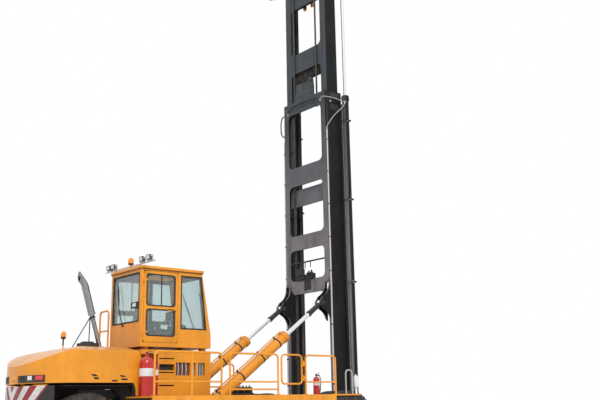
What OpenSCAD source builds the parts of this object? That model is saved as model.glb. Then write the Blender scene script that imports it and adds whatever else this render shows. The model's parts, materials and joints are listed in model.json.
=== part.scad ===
// Mast-type empty container handler, standing as it works: mast raised, spreader drawn in.
// Millimetres. +X is forward, +Y is to the driver's left, +Z is up, and the floor is z = 0.
// Stations along the machine are measured from the rear face of the outer mast, forwards positive.

/* [Wheels] */
// Radius of every tyre
tyre_r = 760; // [700:5:820]
// Width of every tyre
tyre_w = 420; // [360:5:450]
// Radius of the rim's bead seat
rim_r = 345; // [300:5:380]
// Distance from the drive axle to the steer axle
wheelbase = 6420; // [6300:10:6600]
// Station of the drive axle, behind the mast
drive_back = 480; // [460:5:520]
// Distance from the centre line to the outer drive tyre's middle
outer_tyre_y = 1830; // [1810:5:1870]
// Distance between the middles of the twin tyres
twin_pitch = 500; // [470:5:520]
// Distance from the centre line to the steer tyre's middle
steer_tyre_y = 1090; // [1060:5:1120]
// Distance from a kingpin to its steer tyre's middle
kingpin_offset = 330; // [315:5:350]

/* [Chassis] */
// Distance from the centre line to a frame beam's outer face
frame_y = 650; // [620:5:660]
// Width of each frame beam
beam_w = 180; // [140:10:240]
// Height of the frame beams' top
frame_top = 1350; // [1300:10:1380]
// Height of the frame beams' underside between the axles
frame_low = 620; // [560:10:700]
// Height of the walkway decks' top
deck_z = 1430; // [1400:10:1440]
// Distance from the centre line to a deck's outer edge
deck_y = 2090; // [2060:5:2140]
// Distance from the centre line to a deck's inner edge
deck_inner_y = 1000; // [970:5:1040]
// Station of the decks' rear end, behind the mast
deck_back = 5940; // [5900:10:5960]
// Station of the decks' front end, behind the mast
deck_front = 960; // [930:5:1000]
// Thickness of deck plates
deck_t = 30; // [15:1:40]
// Radius of the handrail tube
rail_r = 21; // [16:1:27]
// Height of the handrails above the deck
rail_h = 880; // [800:10:1000]

/* [Counterweight and hood] */
// Station of the counterweight's rear face, behind the mast
rear_back = 7950; // [7930:5:8050]
// Half the width of the counterweight
cw_half = 1150; // [1080:10:1200]
// Height of the counterweight's top
cw_top = 1685; // [1670:5:1690]
// Height of the counterweight's underside
cw_low = 520; // [450:10:600]
// Half the width of the hood
hood_half = 1300; // [1260:5:1330]
// Height of the hood's lower edge
hood_low = 1710; // [1705:5:1730]
// Height of the hood's highest point
hood_top = 2500; // [2450:5:2540]
// Thickness of the hood's moulding
hood_wall = 22; // [12:1:40]

/* [Cab] */
// Station of the cab's rear face, behind the mast
cab_back = 5470; // [5450:5:5500]
// Length of the cab at its floor
cab_l = 1840; // [1780:10:1880]
// Half the width of the cab
cab_half = 690; // [660:5:720]
// Height of the cab's underside
cab_z = 2500; // [2480:5:2550]
// Height of the cab over its walls
cab_h = 1720; // [1650:10:1800]
// Thickness of the cab's walls and doors
cab_wall = 50; // [40:2:60]
// Thickness of the glass
glass_t = 10; // [6:1:14]

/* [Mast] */
// Half the width of the outer mast
mast_half = 935; // [925:1:950]
// Width of an outer mast rail
rail_w = 140; // [130:1:150]
// Depth of the outer mast rails
rail_d = 520; // [480:5:560]
// Length of the outer mast
mast_l = 9350; // [9200:10:9500]
// Height of the outer mast's lower end
mast_z = 300; // [260:10:340]
// Thickness of the mast's rear plate
ladder_t = 40; // [25:1:50]
// How far the inner mast is lifted, as the machine stands
mast_lift = 6000; // [5900:10:6100]
// Distance from the centre line to a lift cylinder
lift_cyl_y = 1036; // [1030:2:1060]
// Radius of a lift cylinder's barrel
lift_barrel_r = 92; // [84:1:98]
// Radius of a lift cylinder's rod
lift_rod_r = 46; // [40:1:52]

/* [Tilt cylinders] */
// Distance from the centre line to a tilt cylinder
tilt_y = 800; // [790:1:810]
// Radius of a tilt cylinder's barrel
tilt_barrel_r = 125; // [105:1:132]
// Radius of a tilt cylinder's rod
tilt_rod_r = 52; // [42:1:58]
// Station of a tilt cylinder's lower pin, behind the mast
tilt_base_back = 3950; // [3900:10:4000]
// Height of a tilt cylinder's lower pin
tilt_base_z = 1050; // [1030:5:1080]
// Station of the rod eye's pin, behind the mast
tilt_eye_back = 310; // [290:5:330]
// Height of the rod eye's pin
tilt_eye_z = 3740; // [3700:10:3780]
// Radius of the rod eyes' pins
tilt_pin_r = 45; // [35:1:50]
// Length of a tilt cylinder's barrel from its lower pin
tilt_barrel_l = 3050; // [2950:10:3120]

/* [Spreader] */
// Height of the carriage
carriage_h = 2150; // [2100:10:2200]
// Outer size of a spreader tube
tube_d = 320; // [300:5:340]
// Wall of a spreader tube
tube_wall = 16; // [10:1:20]
// Running gap round a sliding beam
slide_gap = 8; // [6:1:12]
// Half the length of the spreader's main frame
spreader_half = 2600; // [2500:10:2650]
// Distance from the centre line to a lock, drawn in for the short container
lock_y = 2926; // [2920:1:2930]
// Distance from the posts' pads to the lock's middle
lock_reach = 89; // [80:1:95]
// Length of the middle legs below the tubes
leg_drop = 720; // [700:10:760]
// Radius of a lock's neck
lock_r = 26; // [22:1:28]

/* [Hidden] */
// Clearance of a pin or shaft that turns in its bore
run = 0.3;
// Gap where one piece seats on another
seat = 0.3;
// Gap round a door or gate
door_gap = 6;
// Smoothness of round parts
$fn = 64;

// Fore and aft depths of the spreader, which set how far it reaches ahead of the mast
carriage_x = 725;
carriage_t = 90;
spreader_gap = 20;
tube_x = carriage_x + carriage_t + spreader_gap;
post_x = tube_x + tube_d / 2 - 130;
post_d = 300;
pad_t = 40;
pad_x = post_x + post_d + pad_t;
lock_x = pad_x + lock_reach;
bracket_l = 100;
front_reach = lock_x + bracket_l;

// The row's origin is midway between the counterweight's rear and the spreader's front
mast_x = (rear_back - front_reach) / 2;
drive_x = mast_x - drive_back;
steer_x = drive_x - wheelbase;
kingpin_y = steer_tyre_y - kingpin_offset;
rear_x = mast_x - rear_back;

// A box from its lowest to its highest corner, with its stations measured from the mast
module span(x, y, z) {
    translate([mast_x + x[0], y[0], z[0]]) cube([x[1] - x[0], y[1] - y[0], z[1] - z[0]]);
}

// A cylinder along Y between two distances from the centre line
module along_y(x, z, y0, y1, r) {
    translate([x, y0, z]) rotate([-90, 0, 0]) cylinder(r = r, h = y1 - y0);
}

// A round bar from one point to another
module bar(from, to, r) {
    d = to - from;
    len = norm(d);
    translate(from) rotate([0, acos(d[2] / len), atan2(d[1], d[0])]) cylinder(r = r, h = len);
}

module both_sides() {
    children();
    mirror([0, 1, 0]) children();
}

// The left side as drawn, or the right side as its mirror image
module on_side(side) {
    if (side > 0) {
        children();
    } else {
        mirror([0, 1, 0]) children();
    }
}

// A flat shape drawn in the XZ plane, made solid between two distances from the centre line
module plate_y(y0, y1) {
    translate([0, y1, 0]) rotate([90, 0, 0]) linear_extrude(y1 - y0) children();
}

// A flat shape drawn in the YZ plane, made solid between two stations
module plate_x(x0, x1) {
    translate([mast_x + x0, 0, 0]) rotate([90, 0, 90]) linear_extrude(x1 - x0) children();
}

// A rectangle with round corners, from its lowest to its highest corner
module round_rect(a, b, r) {
    translate([a[0] + r, a[1]]) square([b[0] - a[0] - 2 * r, b[1] - a[1]]);
    translate([a[0], a[1] + r]) square([b[0] - a[0], b[1] - a[1] - 2 * r]);
    for (x = [a[0] + r, b[0] - r], y = [a[1] + r, b[1] - r]) translate([x, y]) circle(r = r);
}

// Wheels

groove_w = 26;
groove_d = 22;
shoulder = 70;
bulge = 12;
bead_w = 300;

// Half the outline of a tyre: tread with three grooves, round shoulders and bulging walls
module tyre_profile() {
    half = tyre_w / 2;
    difference() {
        union() {
            translate([rim_r + run, -bead_w / 2]) square([40, bead_w]);
            translate([rim_r + 30, -half + bulge]) square([tyre_r - rim_r - 30 - shoulder, tyre_w - 2 * bulge]);
            translate([rim_r + 120, -half]) square([tyre_r - rim_r - 120 - shoulder, tyre_w]);
            translate([tyre_r - shoulder - 1, -half + shoulder]) square([shoulder + 1, tyre_w - 2 * shoulder]);
            for (y = [-half + shoulder, half - shoulder]) translate([tyre_r - shoulder, y]) circle(r = shoulder);
        }
        for (y = [-100, 0, 100]) translate([tyre_r - groove_d, y - groove_w / 2]) square([groove_d + 1, groove_w]);
    }
}

module tyre(y) {
    color([0.07, 0.07, 0.08])
        translate([0, y, tyre_r]) rotate([-90, 0, 0]) rotate_extrude($fn = 96) tyre_profile();
}

rim_t = 22;
flange_h = 28;
disc_t = 26;
rim_w = 330;

// Half the outline of a rim: a band with two flanges and a disc at the given place
module rim_profile(disc_y, bore_r) {
    translate([rim_r - rim_t, -rim_w / 2]) square([rim_t, rim_w]);
    for (y = [-rim_w / 2, rim_w / 2 - 14]) translate([rim_r - rim_t, y]) square([rim_t + flange_h, 14]);
    translate([bore_r, disc_y - disc_t / 2]) square([rim_r - bore_r - 1, disc_t]);
}

axle_stub_r = 90;
hub_r = 170;

module twin_tyres(side) {
    translate([drive_x, 0, 0]) on_side(side) {
        tyre(outer_tyre_y);
        tyre(outer_tyre_y - twin_pitch);
    }
}

// Two rims on one hub, which turns on the axle's stub
module twin_rims(side) {
    inner_y = outer_tyre_y - twin_pitch;
    color([0.93, 0.62, 0.08])
    translate([drive_x, 0, tyre_r]) on_side(side)
        translate([0, inner_y, 0]) rotate([-90, 0, 0]) rotate_extrude($fn = 96) {
            rim_profile(60, hub_r);
            translate([0, twin_pitch]) rim_profile(-60, hub_r);
            translate([axle_stub_r + run, 20]) square([hub_r - axle_stub_r, twin_pitch - 30]);
            translate([0, twin_pitch - 11]) square([hub_r - 50, 60]);
        }
}

spindle_r = 60;

module steer_tyre(side) {
    translate([steer_x, 0, 0]) on_side(side) tyre(steer_tyre_y);
}

module steer_rim(side) {
    color([0.93, 0.62, 0.08])
    translate([steer_x, 0, tyre_r]) on_side(side)
        translate([0, steer_tyre_y, 0]) rotate([-90, 0, 0]) rotate_extrude($fn = 96) {
            rim_profile(70, 110);
            translate([spindle_r + run, -60]) square([110 - spindle_r, 190]);
            translate([0, 129]) square([90, 50]);
        }
}

// Axles

axle_tube_r = 150;
// Space on the axle tube, inboard of the hubs
axle_tube_y = 1100;
diff_r = 290;

module drive_axle() {
    color([0.12, 0.12, 0.13]) {
        along_y(drive_x, tyre_r, -axle_tube_y, axle_tube_y, axle_tube_r);
        both_sides() along_y(drive_x, tyre_r, axle_tube_y - 1, outer_tyre_y - 20, axle_stub_r);
        translate([drive_x, 0, tyre_r]) rotate([-90, 0, 0]) rotate_extrude()
            intersection() {
                translate([0, -260]) square([diff_r, 520]);
                circle(r = diff_r);
            }
        translate([drive_x - 520, 0, tyre_r]) rotate([0, 90, 0]) cylinder(r = 110, h = 300);
    }
}

fork_gap = 210;
fork_t = 45;
fork_r = 92;
pin_r = 38;
steer_beam_w = 170;

// A beam with a forked end for each knuckle and the steering cylinder across its front
module steer_axle() {
    color([0.12, 0.12, 0.13]) difference() {
        union() {
            translate([steer_x - steer_beam_w / 2, -kingpin_y + 130, tyre_r - 130])
                cube([steer_beam_w, 2 * kingpin_y - 260, 260]);
            both_sides() for (z = [-fork_gap / 2 - fork_t, fork_gap / 2]) {
                translate([steer_x, kingpin_y, tyre_r + z]) cylinder(r = fork_r, h = fork_t);
                translate([steer_x - steer_beam_w / 2, kingpin_y - 240, tyre_r + z])
                    cube([steer_beam_w, 240, fork_t]);
            }
            translate([steer_x - 210, -240, tyre_r - 100]) cube([420, 480, 330]);
            along_y(steer_x + 160, tyre_r - 20, -330, 330, 62);
        }
        both_sides() translate([steer_x, kingpin_y, tyre_r - 300]) cylinder(r = pin_r + run, h = 600);
    }
}

// A stub axle with its kingpin, turning between the ends of the fork
module knuckle(side) {
    boss_h = fork_gap - 10;
    color([0.15, 0.15, 0.16]) on_side(side) {
        translate([steer_x, kingpin_y, tyre_r - fork_gap / 2 - fork_t - 12]) cylinder(r = pin_r, h = fork_gap + 2 * fork_t + 24);
        translate([steer_x, kingpin_y, tyre_r - boss_h / 2]) cylinder(r = 84, h = boss_h);
        along_y(steer_x, tyre_r, kingpin_y, steer_tyre_y + 120, spindle_r);
        along_y(steer_x, tyre_r, kingpin_y + 60, kingpin_y + 150, 84);
    }
}

// Chassis

sweep_r = 965;
sweep_round = 600;
sweep_z = 1250;
arch_z = 1600;
arch_top = 1900;

// The space round a kingpin that its steered wheel turns in, narrowing above the tyre
module wheel_sweep() {
    both_sides() translate([steer_x, kingpin_y, 0]) rotate_extrude($fn = 192) intersection() {
        translate([0, -1]) square([sweep_r, sweep_z + sweep_round]);
        union() {
            translate([0, -1]) square([sweep_r, sweep_z + 1]);
            translate([sweep_r - sweep_round, sweep_z]) circle(r = sweep_round);
            translate([0, -1]) square([sweep_r - sweep_round, sweep_z + sweep_round]);
        }
    }
}

module frame_beam() {
    front = mast_x - 130;
    rear = mast_x - rear_back + 260;
    rise = drive_x - 700;
    drop = steer_x + sweep_r + 60;
    plate_y(frame_y - beam_w, frame_y) difference() {
        polygon([
            [front, frame_top], [front, tyre_r + axle_tube_r + 10], [rise + 150, tyre_r + axle_tube_r + 10],
            [rise, frame_low], [drop + 150, frame_low], [drop, frame_low + 150], [drop, arch_z - 150],
            [drop - 150, arch_z], [rear, arch_z], [rear, arch_top - 120], [rear + 120, arch_top],
            [drop, arch_top], [drop + 350, frame_top]
        ]);
        for (i = [0 : 3]) translate([drop + 800 + i * 900, (frame_low + frame_top) / 2]) circle(r = 150);
    }
}

tilt_lug_t = 40;
tilt_lug_gap = 130;

// Two lugs on each side that hold a tilt cylinder's lower pin
module tilt_base_lugs() {
    x = mast_x - tilt_base_back;
    for (y = [tilt_y - tilt_lug_gap / 2 - tilt_lug_t, tilt_y + tilt_lug_gap / 2]) {
        plate_y(y, y + tilt_lug_t) difference() {
            union() {
                translate([x, tilt_base_z]) circle(r = 110);
                translate([x - 110, frame_low + 40]) square([220, tilt_base_z - frame_low - 40]);
            }
            translate([x, tilt_base_z]) circle(r = tilt_pin_r + run);
        }
    }
    translate([x - 110, frame_y - 1, frame_low + 40])
        cube([220, tilt_y + tilt_lug_gap / 2 + tilt_lug_t - frame_y + 1, 60]);
}

outrigger_stations = [5250, 4500, 2600, 1500];
outrigger_w = 90;

module chassis() {
    color([0.93, 0.62, 0.08]) {
        both_sides() {
            frame_beam();
            tilt_base_lugs();
            for (s = outrigger_stations) {
                span([-s, -s + outrigger_w], [frame_y - 1, deck_inner_y + 60], [deck_z - deck_t - 150, frame_top]);
                span([-s, -s + outrigger_w], [deck_inner_y - 60, deck_inner_y + 60], [frame_top - 1, deck_z - deck_t - seat]);
            }
            // Saddle on the drive axle
            difference() {
                translate([drive_x - 200, frame_y - beam_w, tyre_r + 60]) cube([400, beam_w, 120]);
                along_y(drive_x, tyre_r, 0, deck_y, axle_tube_r + run);
            }
        }
        // Cross members between the beams
        for (s = [5500, 3500, 1700]) span([-s, -s + 160], [-frame_y + 1, frame_y - 1], [frame_low + 200, frame_top - 60]);
        span([-330, -130], [-frame_y + 1, frame_y - 1], [frame_top - 220, frame_top]);
        // Hanger of the steer axle
        translate([steer_x - 210, -frame_y + 1, arch_z]) cube([420, 2 * frame_y - 2, 120]);
        translate([steer_x - 210, -240, tyre_r + 230 + seat]) cube([420, 480, arch_z - tyre_r - 229]);
    }
}

cw_bow = 1800;

cw_depth = 480;

// The counterweight's outline from above: bowed across the rear
module cw_plan() {
    intersection() {
        translate([rear_x + cw_bow, 0]) circle(r = cw_bow, $fn = 192);
        translate([rear_x, -cw_half]) square([cw_depth, 2 * cw_half]);
    }
}

hinge_x = rear_x + 80;
hinge_z = hood_low + 10;
hinge_r = 16;
hinge_ys = [-330, 270];
// Radius about the hinge that the hood's rear edge swings in
hinge_room = 87;

module counterweight() {
    // Lugs and pins of the hood's hinge
    color([0.93, 0.62, 0.08]) for (y = hinge_ys) {
        translate([hinge_x - 4, y - 32, hinge_z - hinge_room - 20]) cube([30, 30, hinge_room + 20]);
        along_y(hinge_x, hinge_z, y - 32, y - 2, hinge_r + 3);
        along_y(hinge_x, hinge_z, y - 3, y + 60, hinge_r);
    }
    color([0.93, 0.62, 0.08]) difference() {
        translate([0, 0, cw_low]) linear_extrude(cw_top - cw_low) cw_plan();
        wheel_sweep();
        // Cove that the hood's rear edge swings in
        along_y(hinge_x, hinge_z, -cw_half - 10, cw_half + 10, hinge_room);
        // Room for the frame beams' ends
        both_sides() translate([rear_x + 260 - seat, frame_y - beam_w - seat, arch_z - seat]) cube([400, beam_w + 2 * seat, 200]);
        // Towing pocket and its pin's bore
        translate([rear_x - 20, -90, tyre_r - 110]) cube([220, 180, 110]);
        translate([rear_x + 100, 0, cw_low - 10]) cylinder(r = 25, h = tyre_r - 60 - cw_low);
        translate([rear_x + 100, 0, tyre_r - 1]) cylinder(r = 25, h = 90);
    }
}

module engine() {
    color([0.25, 0.26, 0.28])
        translate([steer_x - 560, -330, arch_z + 120 + seat]) cube([1300, 660, 480]);
}

hood_front = 5900;
hood_toe = 5560;
hood_crest = 6400;
hood_arc = 2950;
hood_crown = 5800;
hood_shoulder = 230;
leg_r = 340;

// The hood's outline from the side: an arched back and a curved leg ahead of the wheel
module hood_side(inset) {
    difference() {
        intersection() {
            polygon([
                [rear_x - 60, hood_low - inset], [mast_x - hood_toe - inset, hood_low - inset - 1],
                [mast_x - hood_toe - inset, hood_low], [mast_x - hood_front - inset, hood_top + 50],
                [rear_x - 60, hood_top + 50]
            ]);
            translate([mast_x - hood_crest, hood_top - hood_arc]) circle(r = hood_arc - inset, $fn = 192);
        }
    }
    translate([mast_x - hood_toe - 160 + inset, hood_low - 230 - inset]) square([160 - 2 * inset, 231 + inset]);
}

// The hood's outline from behind: a crowned top and round shoulders
module hood_section(inset) {
    intersection() {
        translate([0, hood_top - hood_crown]) circle(r = hood_crown - inset, $fn = 256);
        round_rect([-hood_half + inset, 0], [hood_half - inset, hood_top - inset + 40], hood_shoulder - inset);
    }
}

// Radius of the hood's rear corners seen from above, and how far each is from touching the bow
plan_corner = 600;
plan_slip = 6;

// The hood's outline from above: a bowed rear with two round corners
module hood_plan(inset) {
    corner_y = hood_half - plan_corner + plan_slip;
    corner_off = cw_bow - plan_corner + plan_slip;
    corner_x = rear_x + cw_bow - sqrt(pow(corner_off, 2) - pow(corner_y, 2));
    out = 2 * plan_corner / corner_off;
    difference() {
        intersection() {
            translate([rear_x + cw_bow, 0]) circle(r = cw_bow - inset, $fn = 192);
            translate([rear_x - 60, -hood_half + inset]) square([3060, 2 * (hood_half - inset)]);
        }
        for (side = [-1, 1]) difference() {
            polygon([
                [corner_x, side * corner_y],
                [corner_x - out * (rear_x + cw_bow - corner_x), side * (corner_y + out * corner_y)],
                [corner_x - plan_corner, side * 3 * hood_half], [corner_x, side * 3 * hood_half]
            ]);
            translate([corner_x, side * corner_y]) circle(r = plan_corner - inset, $fn = 96);
        }
    }
}

module hood_form(inset) {
    intersection() {
        plate_y(-hood_half - 10, hood_half + 10) hood_side(inset);
        translate([rear_x - 20, 0, 0]) rotate([90, 0, 90]) linear_extrude(3000) hood_section(inset);
        linear_extrude(3000) hood_plan(inset);
    }
}

module hood() {
    color([0.93, 0.62, 0.08]) difference() {
        hood_form(0);
        hood_form(hood_wall);
        // Between the two legs at the front
        translate([mast_x - hood_toe - 400, -hood_half + 200, 0]) cube([600, 2 * hood_half - 400, hood_low + 40]);
    }
    // Knuckles that turn on the hinge's pins
    color([0.93, 0.62, 0.08]) for (y = hinge_ys) difference() {
        union() {
            along_y(hinge_x, hinge_z, y + seat, y + 55, 30);
            intersection() {
                translate([rear_x + 5, y + seat, hinge_z]) cube([hinge_x - rear_x + 25, 55 - seat, 90]);
                hood_form(1);
            }
        }
        along_y(hinge_x, hinge_z, y - 1, y + 56, hinge_r + run);
    }
}

exhaust_x = 6060;
exhaust_lean = 17;
pipe_r = 48;
shield_r = 78;
shield_start = 760;
tip_start = 1450;
clamp_start = 690;

// Along the exhaust: the origin is its foot and Z runs up the pipe
module along_exhaust() {
    translate([mast_x - exhaust_x, 0, hood_top - 30]) rotate([0, -exhaust_lean, 0]) children();
}

module exhaust() {
    color([0.72, 0.72, 0.73]) difference() {
        union() {
            translate([mast_x - exhaust_x, 0, hood_top - 30]) cylinder(r = 95, h = 48);
            along_exhaust() {
                cylinder(r = pipe_r, h = shield_start + 100);
                translate([0, 0, shield_start]) cylinder(r = shield_r, h = tip_start + 10 - shield_start);
                translate([0, 0, tip_start]) rotate([0, -22, 0]) difference() {
                    cylinder(r = shield_r - 2, h = 290);
                    translate([0, 0, 40]) cylinder(r = shield_r - 10, h = 300);
                    translate([-30, 0, 330]) rotate([0, -50, 0]) cube([420, 300, 200], center = true);
                }
            }
        }
        hood_form(-seat);
    }
}

clamp_x = exhaust_x + clamp_start * sin(exhaust_lean) + pipe_r + 12;
clamp_z = hood_top - 30 + clamp_start * cos(exhaust_lean);

// A clamp round the pipe and two stays down to the hood
module exhaust_stays() {
    color([0.1, 0.1, 0.1]) difference() {
        union() {
            along_exhaust() translate([0, 0, clamp_start]) cylinder(r = pipe_r + 16, h = 40);
            for (foot = [6730, 6330])
                bar([mast_x - foot, 0, hood_top - 60], [mast_x - clamp_x, 0, clamp_z + 10], 11);
        }
        along_exhaust() cylinder(r = pipe_r + run, h = shield_start);
        hood_form(-seat);
    }
}

module air_intake() {
    color([0.1, 0.1, 0.1]) difference() {
        union() {
            span([-6530, -6200], [-160, 160], [hood_top - 26, hood_top + 84]);
            span([-6470, -6260], [-100, 100], [hood_top + 83, hood_top + 114]);
        }
        hood_form(-seat);
        // Room for the front stay
        span([-6345, -6315], [-16, 16], [hood_top - 60, hood_top + 200]);
    }
}

stalk_back = 6960;
stalk_y = -100;

// A beacon on a stalk at the rear of the hood
module hood_lamps() {
    color([0.9, 0.45, 0.05]) difference() {
        translate([mast_x - stalk_back, stalk_y, hood_top - 90]) {
            cylinder(r = 14, h = 260);
            translate([0, 0, 258]) cylinder(r = 52, h = 86);
            translate([0, 0, 343]) intersection() {
                sphere(r = 52);
                cylinder(r = 53, h = 53);
            }
        }
        hood_form(-seat);
    }
}

lamp_t = 12;
lamp_low = hood_low + 20;
lamp_high = hood_low + 160;
lamp_y0 = 250;
lamp_y1 = 950;

// A curved lamp housing on each half of the hood's rear face
module rear_lamps() {
    color([0.1, 0.1, 0.1]) both_sides() intersection() {
        translate([rear_x + cw_bow, 0, lamp_low]) difference() {
            cylinder(r = cw_bow + lamp_t, h = lamp_high - lamp_low, $fn = 192);
            translate([0, 0, -1]) cylinder(r = cw_bow + seat, h = lamp_high - lamp_low + 2, $fn = 192);
        }
        translate([rear_x - 50, lamp_y0, lamp_low - 1]) cube([600, lamp_y1 - lamp_y0, lamp_high - lamp_low + 2]);
    }
}

// Walkways

stair_x = 2620;
stair_w = 570;
tread_n = 3;

module platform(side) {
    color([0.93, 0.62, 0.08]) on_side(side) {
        difference() {
            span([-deck_back, -deck_front], [deck_inner_y, deck_y], [deck_z - deck_t, deck_z]);
            translate([drive_x, deck_inner_y - 10, tyre_r]) rotate([-90, 0, 0]) cylinder(r = tyre_r + 50, h = deck_y);
        }
        // Rest for the hood's leg
        span([-hood_toe - 140, -hood_toe - 30], [1110, 1230], [deck_z - 1, hood_low - 230 - seat]);
        // Edge skirt
        span([-deck_back, -deck_front - 60], [deck_y - 14, deck_y], [deck_z - 150, deck_z - 1]);
        // Boarding steps
        for (s = [stair_x, stair_x - stair_w])
            span([-s - 10, -s + 10], [deck_y - 260, deck_y - 15], [480, deck_z - 1]);
        for (i = [1 : tread_n])
            span([-stair_x, -stair_x + stair_w], [deck_y - 240, deck_y - 20], [deck_z - i * 290 - 24, deck_z - i * 290]);
    }
}

rail_y = 2060;
corner_r = 90;

// A quarter bend of rail tube at a point of the XZ plane
module bend(x, z, turn) {
    translate([x, 0, z]) rotate([90, 0, 0]) rotate([0, 0, turn])
        rotate_extrude(angle = 90) translate([corner_r, 0]) circle(r = rail_r, $fn = 24);
}

// A hoop of rail tube in the XZ plane, open at its foot, with bars across it
module hoop(x0, x1, low, high, bars) {
    for (x = [x0, x1]) translate([x, 0, low]) cylinder(r = rail_r, h = high - corner_r - low, $fn = 24);
    translate([x0 + corner_r, 0, high]) rotate([0, 90, 0]) cylinder(r = rail_r, h = x1 - x0 - 2 * corner_r, $fn = 24);
    bend(x0 + corner_r, high - corner_r, 90);
    bend(x1 - corner_r, high - corner_r, 0);
    for (z = bars) translate([x0, 0, z]) rotate([0, 90, 0]) cylinder(r = rail_r - 3, h = x1 - x0, $fn = 24);
}

// Each row: rear station, front station
hoops = [[deck_back - 50, 4270], [4050, 2740], [1930, deck_front + 50]];
post_back = 5010;
mid_bar = deck_z + 280;
low_bar = deck_z + 120;
rail_top = deck_z + rail_h;
gate_hinge = 1990;
gate_back = 2640;
gate_front = 2050;
gate_low = deck_z + 235;
gate_pin_r = 12;
gate_pin_l = 130;
// Heights of the sleeves that the gate's pins turn in
gate_sleeves = [deck_z + 345, deck_z + 670];
sleeve_h = 60;

module handrail(side) {
    low = deck_z + seat;
    color([0.93, 0.62, 0.08]) on_side(side) translate([mast_x, rail_y, 0]) {
        hoop(-hoops[0][0], -hoops[0][1], low, rail_top, [mid_bar]);
        translate([-post_back, 0, low]) cylinder(r = rail_r, h = rail_h, $fn = 24);
        hoop(-hoops[1][0], -hoops[1][1], low, rail_top, [mid_bar, low_bar]);
        difference() {
            union() {
                hoop(-hoops[2][0], -hoops[2][1], low, rail_top, [mid_bar]);
                for (z = gate_sleeves) {
                    translate([-gate_hinge, 0, z]) cylinder(r = 26, h = sleeve_h, $fn = 24);
                    translate([-gate_hinge, -10, z]) cube([gate_hinge - hoops[2][0], 20, sleeve_h]);
                }
            }
            translate([-gate_hinge, 0, deck_z]) cylinder(r = gate_pin_r + run, h = rail_h, $fn = 24);
        }
    }
}

// A round-cornered gate with two pins that turn in the front hoop's sleeves
module gate(side) {
    color([0.93, 0.62, 0.08]) on_side(side) translate([mast_x, rail_y, 0]) {
        for (s = [gate_back, gate_front])
            translate([-s, 0, gate_low + corner_r]) cylinder(r = rail_r, h = rail_top - gate_low - 2 * corner_r, $fn = 24);
        for (z = [gate_low, rail_top])
            translate([-gate_back + corner_r, 0, z]) rotate([0, 90, 0])
                cylinder(r = rail_r, h = gate_back - gate_front - 2 * corner_r, $fn = 24);
        bend(-gate_back + corner_r, rail_top - corner_r, 90);
        bend(-gate_front - corner_r, rail_top - corner_r, 0);
        bend(-gate_back + corner_r, gate_low + corner_r, 180);
        bend(-gate_front - corner_r, gate_low + corner_r, 270);
        for (z = gate_sleeves) {
            translate([-gate_hinge, 0, z - 40]) cylinder(r = gate_pin_r, h = gate_pin_l, $fn = 24);
            translate([-gate_hinge, 0, z - 40]) cylinder(r = 2 * gate_pin_r, h = 40 - seat, $fn = 24);
            translate([-gate_front, -9, z - 40]) cube([gate_front - gate_hinge, 18, 39]);
        }
    }
}

balcony_back = 5530;
balcony_front = 4400;
balcony_y = 1160;
balcony_top = 3400;
balcony_bar = 2940;

// A small walkway outside the left door, with a hoop at each end
module balcony_left() {
    floor_z = cab_z - foot_h + seat;
    color([0.93, 0.62, 0.08]) {
        span([-balcony_back, -balcony_front], [base_half - 30, balcony_y], [floor_z, floor_z + deck_t]);
        for (s = [balcony_back - rail_r, balcony_front + rail_r]) translate([mast_x - s, 0, 0]) rotate([0, 0, 90])
            hoop(cab_half + 30, balcony_y - rail_r, floor_z + deck_t - 1, balcony_top, [balcony_bar]);
    }
}

tank_back = 4900;
tank_front = 3100;

module side_tank(side) {
    color([0.93, 0.62, 0.08]) on_side(side)
        plate_y(deck_inner_y + 30, deck_y - 60)
            round_rect([mast_x - tank_back, 640], [mast_x - tank_front, deck_z - deck_t - 150 - seat], 70);
}

module extinguishers() {
    color([0.72, 0.06, 0.06]) {
        for (p = [[5740, -1480, 150, 800], [930, -1280, 80, 430]])
            translate([mast_x - p[0], p[1], deck_z + seat]) {
                cylinder(r = p[2], h = p[3] - p[2]);
                translate([0, 0, p[3] - p[2]]) intersection() {
                    sphere(r = p[2]);
                    cylinder(r = p[2] + 1, h = p[2] + 1);
                }
                translate([0, 0, p[3] - 10]) cylinder(r = p[2] / 4, h = 70);
            }
    }
}

module valve_block() {
    color([0.1, 0.1, 0.11]) {
        span([-2900, -2100], [-300, 300], [frame_top - 31, frame_top + 160]);
        for (s = [2800, 2600, 2400, 2200]) span([-s, -s + 90], [-260, 260], [frame_top + 159, frame_top + 290]);
        span([-3520, -1520], [-frame_y + beam_w + 2, frame_y - beam_w - 2], [frame_top - 60 + seat, frame_top - 30]);
    }
}

// Cab

base_back = 4990;
base_front = 3610;
base_half = cab_half - 30;
base_wall = 20;
// Each row: lowest and highest edge of a slot in the base's rear part
base_slots = [[1655, 1685], [1940, 1965], [2000, 2130], [2240, 2265]];
// Each row: rear and front station of an opening into the base's open bay
base_bays = [[4530, 4150], [4110, 4010], [3960, 3760]];
bay_low = 1890;
bay_high = 2170;
base_top_t = 100;
foot_h = 60;

module cab_base() {
    color([0.93, 0.62, 0.08]) difference() {
        union() {
            span([-base_back, -base_front], [-base_half, base_half], [frame_top + seat, cab_z - foot_h]);
            span([-cab_back + 40, -base_front], [-base_half, base_half], [cab_z - foot_h - base_top_t, cab_z - foot_h]);
            for (s = [5300, 3800], y = [-560, 440])
                span([-s, -s + 120], [y, y + 120], [cab_z - foot_h - 1, cab_z - seat]);
        }
        span([-base_back + base_wall, -base_front - base_wall], [-cab_half + 260, cab_half - 260],
            [frame_top - 1, cab_z - foot_h - base_top_t]);
        both_sides() {
            for (z = base_slots) span([-base_back + 30, -base_back + 420], [base_half - 120, base_half + 1], z);
            for (s = base_bays) span([-s[0], -s[1]], [base_half - 140, base_half + 1], [bay_low, bay_high]);
        }
    }
}

windscreen_lean = 250;

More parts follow.
